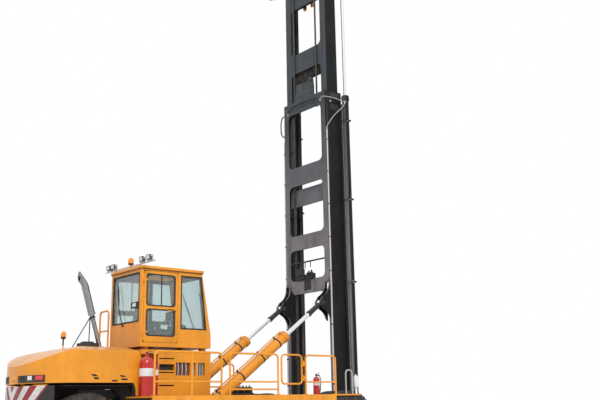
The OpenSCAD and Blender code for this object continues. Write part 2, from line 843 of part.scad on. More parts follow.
// The cab's outline from the side, leaning back at the front
module cab_side(inset) {
    x0 = mast_x - cab_back;
    x1 = x0 + cab_l;
    polygon([
        [x0 + inset, cab_z + inset], [x1 - inset, cab_z + inset], [x1 - inset, cab_z + 300],
        [x1 - windscreen_lean - inset, cab_z + cab_h - inset], [x0 + inset, cab_z + cab_h - inset]
    ]);
}

door_x0 = 5400;
door_x1 = 4530;
door_z0 = 100;
door_z1 = 1670;

door_hinge_x = door_x0 + 24;
door_hinge_y = cab_half + 20;
door_hinge_r = 10;
door_hinge_zs = [250, 1400];

module cab_shell() {
    // Hinge brackets with the pins that the doors hang on
    color([0.93, 0.62, 0.08]) both_sides() for (z = door_hinge_zs) {
        span([-door_hinge_x - 16, -door_hinge_x + 14], [cab_half - 1, door_hinge_y + 16], [cab_z + z, cab_z + z + 40]);
        translate([mast_x - door_hinge_x, door_hinge_y, cab_z + z + 39]) cylinder(r = door_hinge_r, h = 70);
    }
    color([0.93, 0.62, 0.08]) difference() {
        union() {
            plate_y(-cab_half, cab_half) cab_side(0);
            // Roof with a small overhang
            span([-cab_back - 20, -cab_back + cab_l - windscreen_lean + 30], [-cab_half - 20, cab_half + 20],
                [cab_z + cab_h - 1, roof_z]);
        }
        plate_y(-cab_half + cab_wall, cab_half - cab_wall) cab_side(cab_wall);
        // Rear window
        span([-cab_back - 30, -cab_back + cab_wall + 30], [-cab_half + 90, cab_half - 90], [cab_z + 550, cab_z + 1630]);
        // Doorways and front side windows
        both_sides() {
            span([-door_x0 - door_gap, -door_x1 + door_gap], [cab_half - cab_wall - 1, cab_half + 1],
                [cab_z + door_z0 - door_gap, cab_z + door_z1 + door_gap]);
            plate_y(cab_half - cab_wall - 1, cab_half + 1) polygon([
                [mast_x - 4440, cab_z + 420], [mast_x - 3760, cab_z + 420],
                [mast_x - 3900, cab_z + 1620], [mast_x - 4440, cab_z + 1620]
            ]);
        }
        // Windscreen and the roof window above the driver
        span([-cab_back + cab_l - windscreen_lean - 60, -cab_back + cab_l + 10], [-cab_half + 80, cab_half - 80],
            [cab_z + 330, cab_z + 1620]);
        span([-4900, -4050], [-cab_half + 140, cab_half - 140], [cab_z + cab_h - cab_wall - 1, cab_z + cab_h + 61]);
    }
}

module cab_glass() {
    color([0.75, 0.88, 0.9, 0.4]) {
        span([-cab_back + 20, -cab_back + 20 + glass_t], [-cab_half + 90 + seat, cab_half - 90 - seat],
            [cab_z + 550 + seat, cab_z + 1630 - seat]);
        both_sides() plate_y(cab_half - 35, cab_half - 35 + glass_t) polygon([
            [mast_x - 4440 + seat, cab_z + 420 + seat], [mast_x - 3760 - seat, cab_z + 420 + seat],
            [mast_x - 3900 - seat, cab_z + 1620 - seat], [mast_x - 4440 + seat, cab_z + 1620 - seat]
        ]);
        x1 = mast_x - cab_back + cab_l;
        plate_y(-cab_half + 80 + seat, cab_half - 80 - seat) polygon([
            [x1 - 40, cab_z + 330 + seat], [x1 - 40 + glass_t, cab_z + 330 + seat],
            [x1 - windscreen_lean + 20, cab_z + 1620 - seat], [x1 - windscreen_lean + 20 - glass_t, cab_z + 1620 - seat]
        ]);
        span([-4900 + seat, -4050 - seat], [-cab_half + 140 + seat, cab_half - 140 - seat],
            [cab_z + cab_h + 20, cab_z + cab_h + 20 + glass_t]);
    }
}

// A door hung at its rear edge, with two glazed openings
module door(side) {
    color([0.93, 0.62, 0.08]) on_side(side) difference() {
        union() {
            plate_y(cab_half - cab_wall, cab_half)
                round_rect([mast_x - door_x0, cab_z + door_z0], [mast_x - door_x1, cab_z + door_z1], 60);
            span([-4790, -4650], [cab_half - 1, cab_half + 35], [cab_z + 800, cab_z + 850]);
            // Hinge straps and knuckles
            for (z = door_hinge_zs) {
                span([-door_hinge_x, -door_x0 + 80], [cab_half + 2, cab_half + 14], [cab_z + z + 41, cab_z + z + 95]);
                span([-door_x0 + 20, -door_x0 + 80], [cab_half - 1, cab_half + 3], [cab_z + z + 41, cab_z + z + 95]);
                translate([mast_x - door_hinge_x, door_hinge_y, cab_z + z + 40 + seat]) cylinder(r = 19, h = 55);
            }
        }
        for (z = door_hinge_zs) translate([mast_x - door_hinge_x, door_hinge_y, cab_z + z]) cylinder(r = door_hinge_r + run, h = 150);
        for (z = door_panes) plate_y(cab_half - cab_wall - 1, cab_half + 1) door_pane(z, 0);
    }
}

// Lowest and highest edge of each pane in a door, above the cab's underside
door_panes = [[240, 820], [900, 1600]];

module door_pane(z, inset) {
    round_rect([mast_x - door_x0 + 70 + inset, cab_z + z[0] + inset],
        [mast_x - door_x1 - 70 - inset, cab_z + z[1] - inset], 70);
}

module door_glass(side) {
    color([0.75, 0.88, 0.9, 0.4]) on_side(side)
        for (z = door_panes) plate_y(cab_half - 30, cab_half - 30 + glass_t) door_pane(z, seat);
}

module cab_seat() {
    color([0.12, 0.12, 0.13]) {
        span([-4950, -4550], [-200, 200], [cab_z + cab_wall + seat, cab_z + 330]);
        span([-5000, -4500], [-250, 250], [cab_z + 329, cab_z + 460]);
        translate([mast_x - 5080, 0, cab_z + 400]) rotate([0, -10, 0])
            translate([0, -240, 0]) cube([130, 480, 750]);
        span([-4260, -3990], [-200, 200], [cab_z + cab_wall + seat, cab_z + 560]);
    }
}

roof_z = cab_z + cab_h + 60;
roof_bar_x = cab_back - 10;
roof_bar_z = roof_z + 35;
roof_bar_r = 16;
lamp_ys = [830, 610, -710, -1020];
beacon_y = -170;
beacon_r = 62;

// A bar across the rear of the roof, on two brackets, with its lamps on stems
module roof_lights() {
    color([0.6, 0.6, 0.62]) {
        along_y(mast_x - roof_bar_x, roof_bar_z, -1240, 1020, roof_bar_r);
        for (y = [-600, 520]) span([-roof_bar_x - 15, -roof_bar_x + 25], [y, y + 60], [roof_z + seat, roof_bar_z]);
        for (y = lamp_ys) {
            translate([mast_x - roof_bar_x, y, roof_bar_z]) cylinder(r = 9, h = 50);
            span([-roof_bar_x - 52, -roof_bar_x + 38], [y - 75, y + 75], [roof_z + 75, roof_z + 180]);
        }
    }
}

// A stem on the roof's bar and a round lens with a domed top
module roof_beacon() {
    color([0.95, 0.4, 0.02]) translate([mast_x - roof_bar_x, beacon_y, roof_bar_z]) {
        difference() {
            translate([-20, -20, -20]) cube([40, 40, 75]);
            rotate([90, 0, 0]) cylinder(r = roof_bar_r + seat, h = 100, center = true);
        }
        translate([0, 0, 54]) cylinder(r = beacon_r, h = 86);
        translate([0, 0, 139]) intersection() {
            sphere(r = beacon_r);
            cylinder(r = beacon_r + 1, h = beacon_r + 1);
        }
    }
}

// Mast and its cylinders

ladder_half = 890;
foot_bore = axle_tube_r + run;
foot_r = 240;

rail_web = 45;
lift_x = 590;
chain_y = 480;
chain_t = 24;
// Station of the chains' rear run, between the two masts' plates
chain_back = 28;
anchor_z = mast_z + mast_l - 285;

// One C-shaped rail of a mast, open towards the centre line
module mast_rail(half, w, depth, x, z, len) {
    translate([mast_x + x, 0, z]) difference() {
        translate([0, half - w, 0]) cube([depth, w, len]);
        translate([rail_web, half - w - 1, -1]) cube([depth - 2 * rail_web, w - rail_web + 1, len + 2]);
    }
}

// Each row: lowest and highest edge of a member of the outer mast's rear plate, below the mast's top
ladder_rows = [[5540, 5170], [4330, 3920], [2500, 1960], [360, 0]];
ladder_stile = 190;
ladder_corner = 140;
ladder_foot = 560;
bracket_low = 3300;
bracket_high = 4450;
mast_top = mast_z + mast_l;
// Heights of the guides round the lift cylinders, and their thickness
guide_zs = [4310, 6555, 8800];
guide_h = 40;

// A plate between stiles, with a round-cornered opening between each two of its members
module ladder_plate(half, stile, rows, top, corner) {
    difference() {
        translate([-half, top - rows[0][0]]) square([2 * half, rows[0][0] - rows[len(rows) - 1][1]]);
        for (i = [0 : len(rows) - 2])
            round_rect([-half + stile, top - rows[i][1]], [half - stile, top - rows[i + 1][0]], corner);
    }
}

module tilt_bracket() {
    x = mast_x - tilt_eye_back;
    difference() {
        union() {
            translate([x, tilt_eye_z]) circle(r = 105);
            polygon([
                [mast_x + 1, bracket_high], [x - 60, tilt_eye_z + 86], [x - 20, tilt_eye_z - 103], [mast_x + 1, bracket_low]
            ]);
        }
        translate([x - 190, tilt_eye_z + 560]) circle(r = 430);
        translate([x - 70, tilt_eye_z - 470]) circle(r = 330);
    }
}

module outer_mast() {
    eye_x = mast_x - tilt_eye_back;
    color([0.2, 0.2, 0.22]) difference() {
        union() {
            both_sides() {
                mast_rail(mast_half, rail_w, rail_d, 0, mast_z, mast_l);
                // Foot that turns on the drive axle
                plate_y(mast_half - rail_w + 5, mast_half - 5) union() {
                    translate([drive_x, tyre_r]) circle(r = foot_r);
                    polygon([
                        [drive_x, tyre_r - foot_r], [mast_x + 20, mast_z + 20],
                        [mast_x + 20, mast_z + 1100], [drive_x, tyre_r + foot_r]
                    ]);
                }
                // Bracket for a tilt rod
                for (y = [tilt_y - tilt_lug_gap / 2 - tilt_lug_t, tilt_y + tilt_lug_gap / 2])
                    plate_y(y, y + tilt_lug_t) tilt_bracket();
                along_y(eye_x, tilt_eye_z, tilt_y - tilt_lug_gap / 2 - 1, tilt_y + tilt_lug_gap / 2 + 1, tilt_pin_r);
                // Feet and guides of the lift cylinders
                span([330, lift_x + lift_barrel_r + 8], [mast_half - 1, lift_cyl_y + 110], [mast_z + 60, mast_z + 180]);
                for (z = guide_zs) difference() {
                    span([480, lift_x + lift_barrel_r + 8], [mast_half - 1, lift_cyl_y + lift_barrel_r + 12], [z, z + guide_h]);
                    translate([mast_x + lift_x, lift_cyl_y, z - 1]) cylinder(r = lift_barrel_r + seat, h = guide_h + 2);
                }
            }
            plate_x(-ladder_t, 1) difference() {
                ladder_plate(ladder_half, ladder_stile, ladder_rows, mast_top, ladder_corner);
                // Slanted lower corners and the sight hole
                for (side = [-1, 1]) polygon([
                    [side * ladder_foot, mast_top - ladder_rows[0][0] - 1],
                    [side * (ladder_half + 1), mast_top - ladder_rows[0][0] - 1],
                    [side * (ladder_half + 1), mast_top - ladder_rows[0][1] - 60]
                ]);
                round_rect([-110, mast_top - ladder_rows[0][0] + 120], [110, mast_top - ladder_rows[0][0] + 235], 56);
            }
            span([0, rail_d], [-mast_half + 60, mast_half - 60], [mast_z, mast_z + 50]);
            // Anchors of the chains
            both_sides() span([-1, chain_back + chain_t / 2 + 6], [chain_y - 45, chain_y + 45], [mast_top - ladder_rows[3][0] + 5, anchor_z]);
        }
        along_y(drive_x, tyre_r, -mast_half, mast_half, foot_bore);
    }
}

module lift_barrels() {
    color([0.13, 0.13, 0.14]) both_sides() translate([mast_x + lift_x, lift_cyl_y, 0]) difference() {
        union() {
            translate([0, 0, mast_z + 180 + seat]) cylinder(r = lift_barrel_r, h = mast_l - 330);
            translate([0, 0, mast_z + mast_l - 240]) cylinder(r = lift_barrel_r + 16, h = 120);
        }
        translate([0, 0, mast_z + 260]) cylinder(r = lift_rod_r + 8, h = mast_l);
    }
}

inner_half = mast_half - 55;
inner_w = 110;
inner_x = 60;
inner_d = 400;
inner_z = mast_z + 60 + mast_lift;
inner_l = mast_l - 40;
crosshead_z = inner_z + inner_l;
sheave_r = 130;
sheave_pin_r = 34;
sheave_x = chain_back + sheave_r;
sheave_drop = 200;
chain_front = sheave_x + sheave_r;

// Each row: lowest and highest edge of a member of the inner mast's rear plate, below its crosshead
inner_rows = [[9090, 8610], [5110, 4510], [3070, 2570], [500, 420]];
inner_stile = 230;

module inner_mast() {
    color([0.2, 0.2, 0.22]) {
        both_sides() {
            mast_rail(inner_half - 10, inner_w, inner_d, inner_x, inner_z, inner_l);
            // Ears that the lift rods push on
            span([inner_x, lift_x + lift_barrel_r + 8], [inner_half - 121, lift_cyl_y + 90], [crosshead_z - 1, crosshead_z + 120]);
        }
        // Hangers and pins of the chain sheaves, and pads at the foot that slide in the outer rails
        both_sides() {
            for (y = [chain_y - 60, chain_y + 31])
                span([sheave_x - 45, sheave_x + 45], [y, y + 29], [crosshead_z - sheave_drop - 45, crosshead_z]);
            along_y(mast_x + sheave_x, crosshead_z - sheave_drop, chain_y - 50, chain_y + 50, sheave_pin_r);
            for (z = [80, 1500])
                span([rail_web + seat, rail_d - rail_web - seat], [inner_half - 60, inner_half - 20], [inner_z + z, inner_z + z + 240]);
        }
        plate_x(inner_x + 1, inner_x + 44) ladder_plate(inner_half - 11, inner_stile, inner_rows, crosshead_z, ladder_corner);
        span([inner_x, inner_x + inner_d], [-inner_half + 11, inner_half - 11], [crosshead_z - 1, crosshead_z + 120]);
    }
}

rod_low = 6580;

module lift_rods() {
    color([0.85, 0.86, 0.88]) both_sides()
        translate([mast_x + lift_x, lift_cyl_y, rod_low]) cylinder(r = lift_rod_r, h = crosshead_z - 1 - seat - rod_low);
}

// A sheave for each chain, turning on its pin between two hangers
module chain_sheaves() {
    color([0.3, 0.3, 0.3]) both_sides() translate([mast_x + sheave_x, chain_y, crosshead_z - sheave_drop])
        rotate([-90, 0, 0]) rotate_extrude($fn = 96) difference() {
            translate([sheave_pin_r + run, -29]) square([sheave_r - sheave_pin_r, 58]);
            translate([sheave_r - chain_t / 2 - seat, -26]) square([40, 52]);
        }
}

chain_w = 50;
chain_top = crosshead_z - sheave_drop;

// A strand of each chain, down from the middle of its sheave
module chain_strand(x, low, high) {
    span([x - chain_t / 2, x + chain_t / 2], [chain_y - chain_w / 2, chain_y + chain_w / 2], [low, high]);
}

// The chains over their sheaves and down to the carriage
module lift_chains() {
    color([0.35, 0.34, 0.33]) both_sides() {
        translate([mast_x + sheave_x, chain_y, chain_top]) rotate([-90, 0, 0]) difference() {
            translate([0, 0, -chain_w / 2]) cylinder(r = sheave_r + chain_t / 2, h = chain_w, $fn = 96);
            translate([0, 0, -chain_w / 2 - 1]) cylinder(r = sheave_r - chain_t / 2, h = chain_w + 2, $fn = 96);
            // The chain leaves the lower half of its sheave
            translate([-sheave_r - chain_t, 0, -chain_w]) cube([2 * (sheave_r + chain_t), sheave_r + chain_t, 2 * chain_w]);
        }
        chain_strand(chain_front, carriage_z + chain_bar[1] + seat, chain_top + 1);
    }
}

// The chains' other ends, down to their anchors on the outer mast
module anchor_chains() {
    color([0.35, 0.34, 0.33]) both_sides() chain_strand(chain_back, anchor_z + seat, chain_top - seat);
}

// Tilt cylinders

tilt_dx = tilt_base_back - tilt_eye_back;
tilt_dz = tilt_eye_z - tilt_base_z;
tilt_len = norm([tilt_dx, tilt_dz]);
tilt_rise = atan2(tilt_dz, tilt_dx);
eye_gap = 10;
rod_tail = 700;
barrel_start = 150;

// Along a tilt cylinder: the origin is its lower pin and X runs up the rod
module along_tilt(side) {
    on_side(side) translate([mast_x - tilt_base_back, tilt_y, tilt_base_z]) rotate([0, -tilt_rise, 0]) children();
}

module tilt_barrel(side) {
    color([0.93, 0.62, 0.08]) along_tilt(side) {
        difference() {
            union() {
                rotate([90, 0, 0]) cylinder(r = 105, h = tilt_lug_gap - 12, center = true);
                translate([0, -tilt_lug_gap / 2 + 6, -90]) cube([barrel_start + 1, tilt_lug_gap - 12, 180]);
                translate([barrel_start, 0, 0]) rotate([0, 90, 0]) cylinder(r = tilt_barrel_r, h = tilt_barrel_l - barrel_start);
                translate([tilt_barrel_l - 120, 0, 0]) rotate([0, 90, 0]) cylinder(r = tilt_barrel_r + 14, h = 120);
            }
            translate([300, 0, 0]) rotate([0, 90, 0]) cylinder(r = tilt_rod_r + 6, h = tilt_barrel_l - 400);
            translate([300, 0, 0]) rotate([0, 90, 0]) cylinder(r = tilt_rod_r + run, h = tilt_barrel_l);
        }
        rotate([90, 0, 0]) cylinder(r = tilt_pin_r, h = tilt_lug_gap + 2 * tilt_lug_t + 20, center = true);
    }
}

module tilt_rod(side) {
    color([0.85, 0.86, 0.88]) along_tilt(side) difference() {
        union() {
            translate([tilt_barrel_l - rod_tail, 0, 0]) rotate([0, 90, 0])
                cylinder(r = tilt_rod_r, h = tilt_len - tilt_barrel_l + rod_tail - 60);
            translate([tilt_len - 330, 0, 0]) rotate([0, 90, 0]) cylinder(r = 58, h = 270);
            translate([tilt_len, 0, 0]) rotate([90, 0, 0]) cylinder(r = 88, h = tilt_lug_gap - 12, center = true);
        }
        translate([tilt_len, 0, 0]) rotate([90, 0, 0]) cylinder(r = tilt_pin_r + eye_gap, h = 400, center = true);
    }
}

// Carriage and spreader

carriage_z = mast_z + 650 + 2 * mast_lift;
carriage_half = inner_half - 10 - inner_w - 12;
carriage_side_h = 1500;
carriage_wide = 1400;
// Lowest and highest edge of the bar that the chains are fixed to, above the carriage's foot
chain_bar = [300, 390];
tube_z = carriage_z + 1370;

module carriage() {
    color([0.14, 0.14, 0.15]) {
        both_sides() {
            span([inner_x + 60, carriage_x + 5], [carriage_half - 60, carriage_half], [carriage_z, carriage_z + carriage_side_h]);
            for (z = [220, carriage_side_h - 220])
                along_y(mast_x + inner_x + inner_d / 2, carriage_z + z, carriage_half - 1, carriage_half + 65,
                    inner_d / 2 - rail_web - seat);
        }
        span([chain_front - 60, chain_front + 60], [-carriage_half + 1, carriage_half - 1],
            [carriage_z + chain_bar[0], carriage_z + chain_bar[1]]);
        // Upper and lower rails that the spreader hangs on
        for (z = [[150, 330], [carriage_h - 180, carriage_h]])
            span([carriage_x, carriage_x + carriage_t], [-carriage_wide, carriage_wide], [carriage_z + z[0], carriage_z + z[1]]);
        for (y = [-740, -60, 620]) span([carriage_x, carriage_x + carriage_t - 10], [y, y + 120],
            [carriage_z + 329, carriage_z + carriage_h - 179]);
    }
}

// A square tube along Y, open at both ends
module tube_y(x, z, half, size, wall) {
    translate([mast_x + x, -half, z]) difference() {
        cube([size, 2 * half, size]);
        translate([wall, -1, wall]) cube([size - 2 * wall, 2 * half + 2, size - 2 * wall]);
    }
}

leg_y = 1150;
leg_w = 180;
pad_h = 260;

// Two tubes, one above the other, with hooks over the carriage's rails and two legs with pads
module spreader_frame() {
    color([0.93, 0.62, 0.08]) {
        for (i = [0, 1]) tube_y(tube_x, tube_z + i * (tube_d - 1), spreader_half, tube_d, tube_wall);
        both_sides() {
            // Hooks over the upper rail and plates behind the lower one
            for (y = [520, 860]) {
                span([tube_x, tube_x + 60], [y, y + 90], [carriage_z + 60, tube_z + 1]);
                span([tube_x, tube_x + 60], [y, y + 90], [tube_z + 2 * tube_d - 2, carriage_z + carriage_h + 70]);
                span([carriage_x - 20, tube_x + 60], [y, y + 90],
                    [carriage_z + carriage_h + seat, carriage_z + carriage_h + 70]);
            }
            // Legs down to the pads that bear on the container's side
            plate_y(leg_y - leg_w / 2, leg_y + leg_w / 2) polygon([
                [mast_x + tube_x + 20, tube_z + 1], [mast_x + tube_x + 20, tube_z - 200],
                [mast_x + post_x + 60, tube_z - leg_drop], [mast_x + pad_x - pad_t, tube_z - leg_drop],
                [mast_x + pad_x - pad_t, tube_z - leg_drop + pad_h], [mast_x + tube_x + tube_d, tube_z + 1]
            ]);
            span([pad_x - pad_t - 1, pad_x], [leg_y - leg_w / 2, leg_y + leg_w / 2], [tube_z - leg_drop, tube_z - leg_drop + pad_h]);
        }
    }
}

arm_size = tube_d - 2 * tube_wall - 2 * slide_gap;
arm_in = 1600;
arm_wall = 14;
lock_z = tube_z + 130;
head_t = 190;
// Height of the bracket's underside above the lock's middle
lock_seat = 20;

// A sliding beam with the post that carries one of the locks
module spreader_arm(side) {
    level = side > 0 ? 1 : 0;
    z0 = tube_z + level * (tube_d - 1) + tube_wall + seat;
    color([0.93, 0.62, 0.08]) on_side(side) {
        translate([mast_x + tube_x + tube_wall + slide_gap, -arm_in, z0]) difference() {
            cube([arm_size, arm_in + lock_y, arm_size]);
            translate([arm_wall, -1, arm_wall]) cube([arm_size - 2 * arm_wall, arm_in + lock_y - 200, arm_size - 2 * arm_wall]);
        }
        // Head on the beam's end, with the bracket over the container's corner and a pad below it
        difference() {
            plate_y(lock_y - head_t / 2, lock_y + head_t / 2) polygon([
                [mast_x + post_x, tube_z], [mast_x + pad_x - pad_t, tube_z], [mast_x + pad_x - pad_t, lock_z + lock_seat],
                [mast_x + front_reach, lock_z + lock_seat], [mast_x + front_reach, lock_z + lock_seat + 60],
                [mast_x + pad_x - 60, lock_z + lock_seat + 230], [mast_x + pad_x - 60, tube_z + 2 * tube_d - 20],
                [mast_x + post_x, tube_z + 2 * tube_d - 20]
            ]);
            translate([mast_x + lock_x, lock_y, lock_z]) cylinder(r = lock_r + 1, h = 300);
            // Pocket for the lock's cap
            translate([mast_x + lock_x - 62, lock_y - 62, lock_z + lock_seat + 60]) cube([front_reach, 124, 300]);
        }
        span([pad_x - pad_t - 1, pad_x], [lock_y - head_t / 2, lock_y + head_t / 2], [tube_z, lock_z - 10]);
    }
}

// A lock that turns a quarter: neck, hammer head and top cap
module lock(side) {
    color([0.75, 0.7, 0.2]) on_side(side) translate([mast_x + lock_x, lock_y, lock_z]) {
        translate([0, 0, -60]) cylinder(r = lock_r, h = lock_seat + 121);
        translate([-28, -52, -100]) cube([56, 104, 45]);
        translate([0, 0, lock_seat + 60 + seat]) cylinder(r = 50, h = 40);
    }
}

chassis();
counterweight();
engine();
hood();
exhaust();
exhaust_stays();
air_intake();
hood_lamps();
rear_lamps();
drive_axle();
twin_tyres(1);  // tyres_front_left
twin_rims(1);  // rims_front_left
twin_tyres(-1);  // tyres_front_right
twin_rims(-1);  // rims_front_right
steer_axle();
knuckle(1);  // knuckle_left
steer_tyre(1);  // tyre_rear_left
steer_rim(1);  // rim_rear_left
knuckle(-1);  // knuckle_right
steer_tyre(-1);  // tyre_rear_right
steer_rim(-1);  // rim_rear_right
platform(1);  // platform_left
handrail(1);  // handrail_left
gate(1);  // gate_left
platform(-1);  // platform_right
handrail(-1);  // handrail_right
gate(-1);  // gate_right
side_tank(1);  // fuel_tank
side_tank(-1);  // hydraulic_tank
balcony_left();
extinguishers();
valve_block();
cab_base();
cab_shell();
cab_glass();
door(1);  // door_left
door(-1);  // door_right
door_glass(1);  // door_glass_left
door_glass(-1);  // door_glass_right
cab_seat();
roof_lights();
roof_beacon();
tilt_barrel(1);  // tilt_barrel_left
tilt_rod(1);  // tilt_rod_left
tilt_barrel(-1);  // tilt_barrel_right
tilt_rod(-1);  // tilt_rod_right
outer_mast();
lift_barrels();
inner_mast();
lift_rods();
chain_sheaves();
lift_chains();
anchor_chains();
carriage();
spreader_frame();
spreader_arm(1);  // spreader_arm_left
spreader_arm(-1);  // spreader_arm_right
lock(1);  // lock_left
lock(-1);  // lock_right
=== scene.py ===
"""Looks of a mast-type empty container handler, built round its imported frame.

Metres; +X is forward, +Y is to the driver's left, +Z is up, and the floor is z = 0. A station is a distance
along X from the outer mast's rear face.
"""
import json
import math

import bmesh
import bpy
from mathutils import Matrix, Vector


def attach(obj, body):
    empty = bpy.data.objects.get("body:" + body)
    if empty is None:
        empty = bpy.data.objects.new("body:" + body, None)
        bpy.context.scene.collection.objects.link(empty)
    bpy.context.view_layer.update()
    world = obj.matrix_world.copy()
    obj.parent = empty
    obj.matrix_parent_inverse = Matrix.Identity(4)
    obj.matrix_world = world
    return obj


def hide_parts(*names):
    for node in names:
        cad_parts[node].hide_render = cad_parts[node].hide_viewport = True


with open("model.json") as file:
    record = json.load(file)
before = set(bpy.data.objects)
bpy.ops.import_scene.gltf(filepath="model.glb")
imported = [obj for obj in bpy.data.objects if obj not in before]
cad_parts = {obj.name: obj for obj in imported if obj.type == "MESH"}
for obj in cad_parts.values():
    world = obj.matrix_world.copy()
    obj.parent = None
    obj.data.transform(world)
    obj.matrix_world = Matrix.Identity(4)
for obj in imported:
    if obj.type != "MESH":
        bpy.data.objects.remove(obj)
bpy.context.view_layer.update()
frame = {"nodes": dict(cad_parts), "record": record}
nodes = frame["nodes"]
slot_of = {part["node"]: part["material_slot"] for part in frame["record"]["subparts"]}

# Camera: where the photograph was taken from
PHOTO_WIDTH = 600.0
FOCAL_PX = 829.34
CAMERA_AT = (-11.252, -16.84, 1.22)
AZIMUTH = 0.86769
PITCH = 0.24118
ROLL = -0.019426

UP = Vector((0.0, 0.0, 1.0))
DOWN = -UP
AHEAD = Vector((1.0, 0.0, 0.0))
BACK = -AHEAD
LEFT = Vector((0.0, 1.0, 0.0))
BOTH = (-1.0, 1.0)
SIDES = (("left", 1.0), ("right", -1.0))

# X of the outer mast's rear face, of both axles and of the rear end, and the radius of the bowed rear
MAST = 3.278
WHEELBASE = 6.42
DRIVE_X = MAST - 0.48
STEER_X = DRIVE_X - WHEELBASE
REAR_X = MAST - 7.95
BOW = 1.8
# Heights of the axles, the decks, the cab's floor, the lamps on its roof and the raised mast's top
AXLE_Z = 0.76
DECK_Z = 1.43
CAB_FLOOR = 2.551
LAMP_Z = 4.4075
TOP_Z = 15.79
# Station and y of a lift cylinder, y of a rail's outer face, and y and both pins of a tilt cylinder, the pins
# by their station and height
LIFT_S = 0.59
LIFT_Y = 1.036
RAIL_Y = 0.934
TILT_Y = 0.8
TILT_LOW = (-3.95, 1.05)
TILT_EYE = (-0.31, 3.74)

YELLOW = (0.87, 0.33, 0.018)
DUST = (0.36, 0.26, 0.16)
GRIME = (0.035, 0.026, 0.02)
STEEL = (0.16, 0.12, 0.09)


def make_camera():
    data = bpy.data.cameras.new("camera")
    data.sensor_fit = "HORIZONTAL"
    data.sensor_width = 36.0
    data.lens = FOCAL_PX * data.sensor_width / PHOTO_WIDTH
    data.clip_end = 200.0
    camera = bpy.data.objects.new("camera", data)
    bpy.context.scene.collection.objects.link(camera)
    ahead = Vector((math.cos(PITCH) * math.cos(AZIMUTH), math.cos(PITCH) * math.sin(AZIMUTH),
                    math.sin(PITCH)))
    right = Vector((math.sin(AZIMUTH), -math.cos(AZIMUTH), 0.0))
    up = right.cross(ahead)
    c, s = math.cos(ROLL), math.sin(ROLL)
    axes = Matrix((c * right + s * up, c * up - s * right, -ahead)).transposed().to_4x4()
    camera.matrix_world = Matrix.Translation(CAMERA_AT) @ axes
    bpy.context.scene.camera = camera


class Shade:
    """One material's node tree, made node by node."""

    def __init__(self, name):
        self.material = bpy.data.materials.new(name)
        self.material.use_nodes = True
        self.tree = self.material.node_tree
        self.tree.nodes.clear()
        self.place = self.node("TexCoord", out="Object")

    def node(self, kind, inputs=(), out=0, **props):
        made = self.tree.nodes.new("ShaderNode" + kind)
        for key, value in props.items():
            setattr(made, key, value)
        for key, value in dict(inputs).items():
            if isinstance(value, bpy.types.NodeSocket):
                self.tree.links.new(value, made.inputs[key])
            else:
                made.inputs[key].default_value = value
        return made.outputs[out]

    def noise(self, scale, detail, stretch=(1.0, 1.0, 1.0)):
        at = self.node("Mapping", {"Vector": self.place, "Scale": stretch})
        return self.node("TexNoise", {"Vector": at, "Scale": scale, "Detail": detail, "Roughness": 0.55})

    def math(self, operation, a, b=0.0):
        return self.node("Math", {0: a, 1: b}, operation=operation)

    def times(self, a, b):
        return self.math("MULTIPLY", a, b)

    def ramp(self, value, low, high, to_low=0.0, to_high=1.0):
        return self.node("MapRange", {"Value": value, "From Min": low, "From Max": high,
                                      "To Min": to_low, "To Max": to_high})

    def patch(self, scale, detail, *limits):
        return self.ramp(self.noise(scale, detail), *limits)

    def mix(self, factor, a, b):
        made = self.tree.nodes.new("ShaderNodeMix")
        made.data_type = "RGBA"
        for key, value in ((0, factor), (6, a), (7, b)):
            if isinstance(value, bpy.types.NodeSocket):
                self.tree.links.new(value, made.inputs[key])
            elif key == 0:
                made.inputs[key].default_value = value
            else:
                made.inputs[key].default_value = (*value[:3], 1.0)
        return made.outputs[2]

    def axis(self, vector, name):
        return self.node("SeparateXYZ", {0: vector}, out=name)

    def facing(self, name):
        """How far the surface faces along an axis, from -1 to 1."""
        return self.axis(self.node("TexCoord", out="Normal"), name)

    def round_edges(self, radius=0.006):
        return self.node("Bevel", {"Radius": radius}, samples=4)

    def edge(self):
        """1 along sharp edges and 0 on flat faces."""
        flat = self.node("NewGeometry", out="Normal")
        dot = self.node("VectorMath", {0: self.round_edges(0.012), 1: flat}, out="Value",
                        operation="DOT_PRODUCT")
        return self.ramp(dot, 0.99, 0.85)

    def bump(self, height, strength, distance, normal=None):
        inputs = {"Height": height, "Strength": strength, "Distance": distance}
        if normal is not None:
            inputs["Normal"] = normal
        return self.node("Bump", inputs)

    def finish(self, color, rough, metallic=0.0, normal=None, **extra):
        inputs = {"Base Color": color if isinstance(color, bpy.types.NodeSocket) else (*color[:3], 1.0),
                  "Roughness": rough, "Metallic": metallic}
        if normal is not None:
            inputs["Normal"] = normal
        inputs.update({key.replace("_", " "): value for key, value in extra.items()})
        surface = self.node("BsdfPrincipled", inputs)
        made = self.tree.nodes.new("ShaderNodeOutputMaterial")
        self.tree.links.new(surface, made.inputs["Surface"])
        return self.material


def scaled(color, by):
    return tuple(channel * by for channel in color)


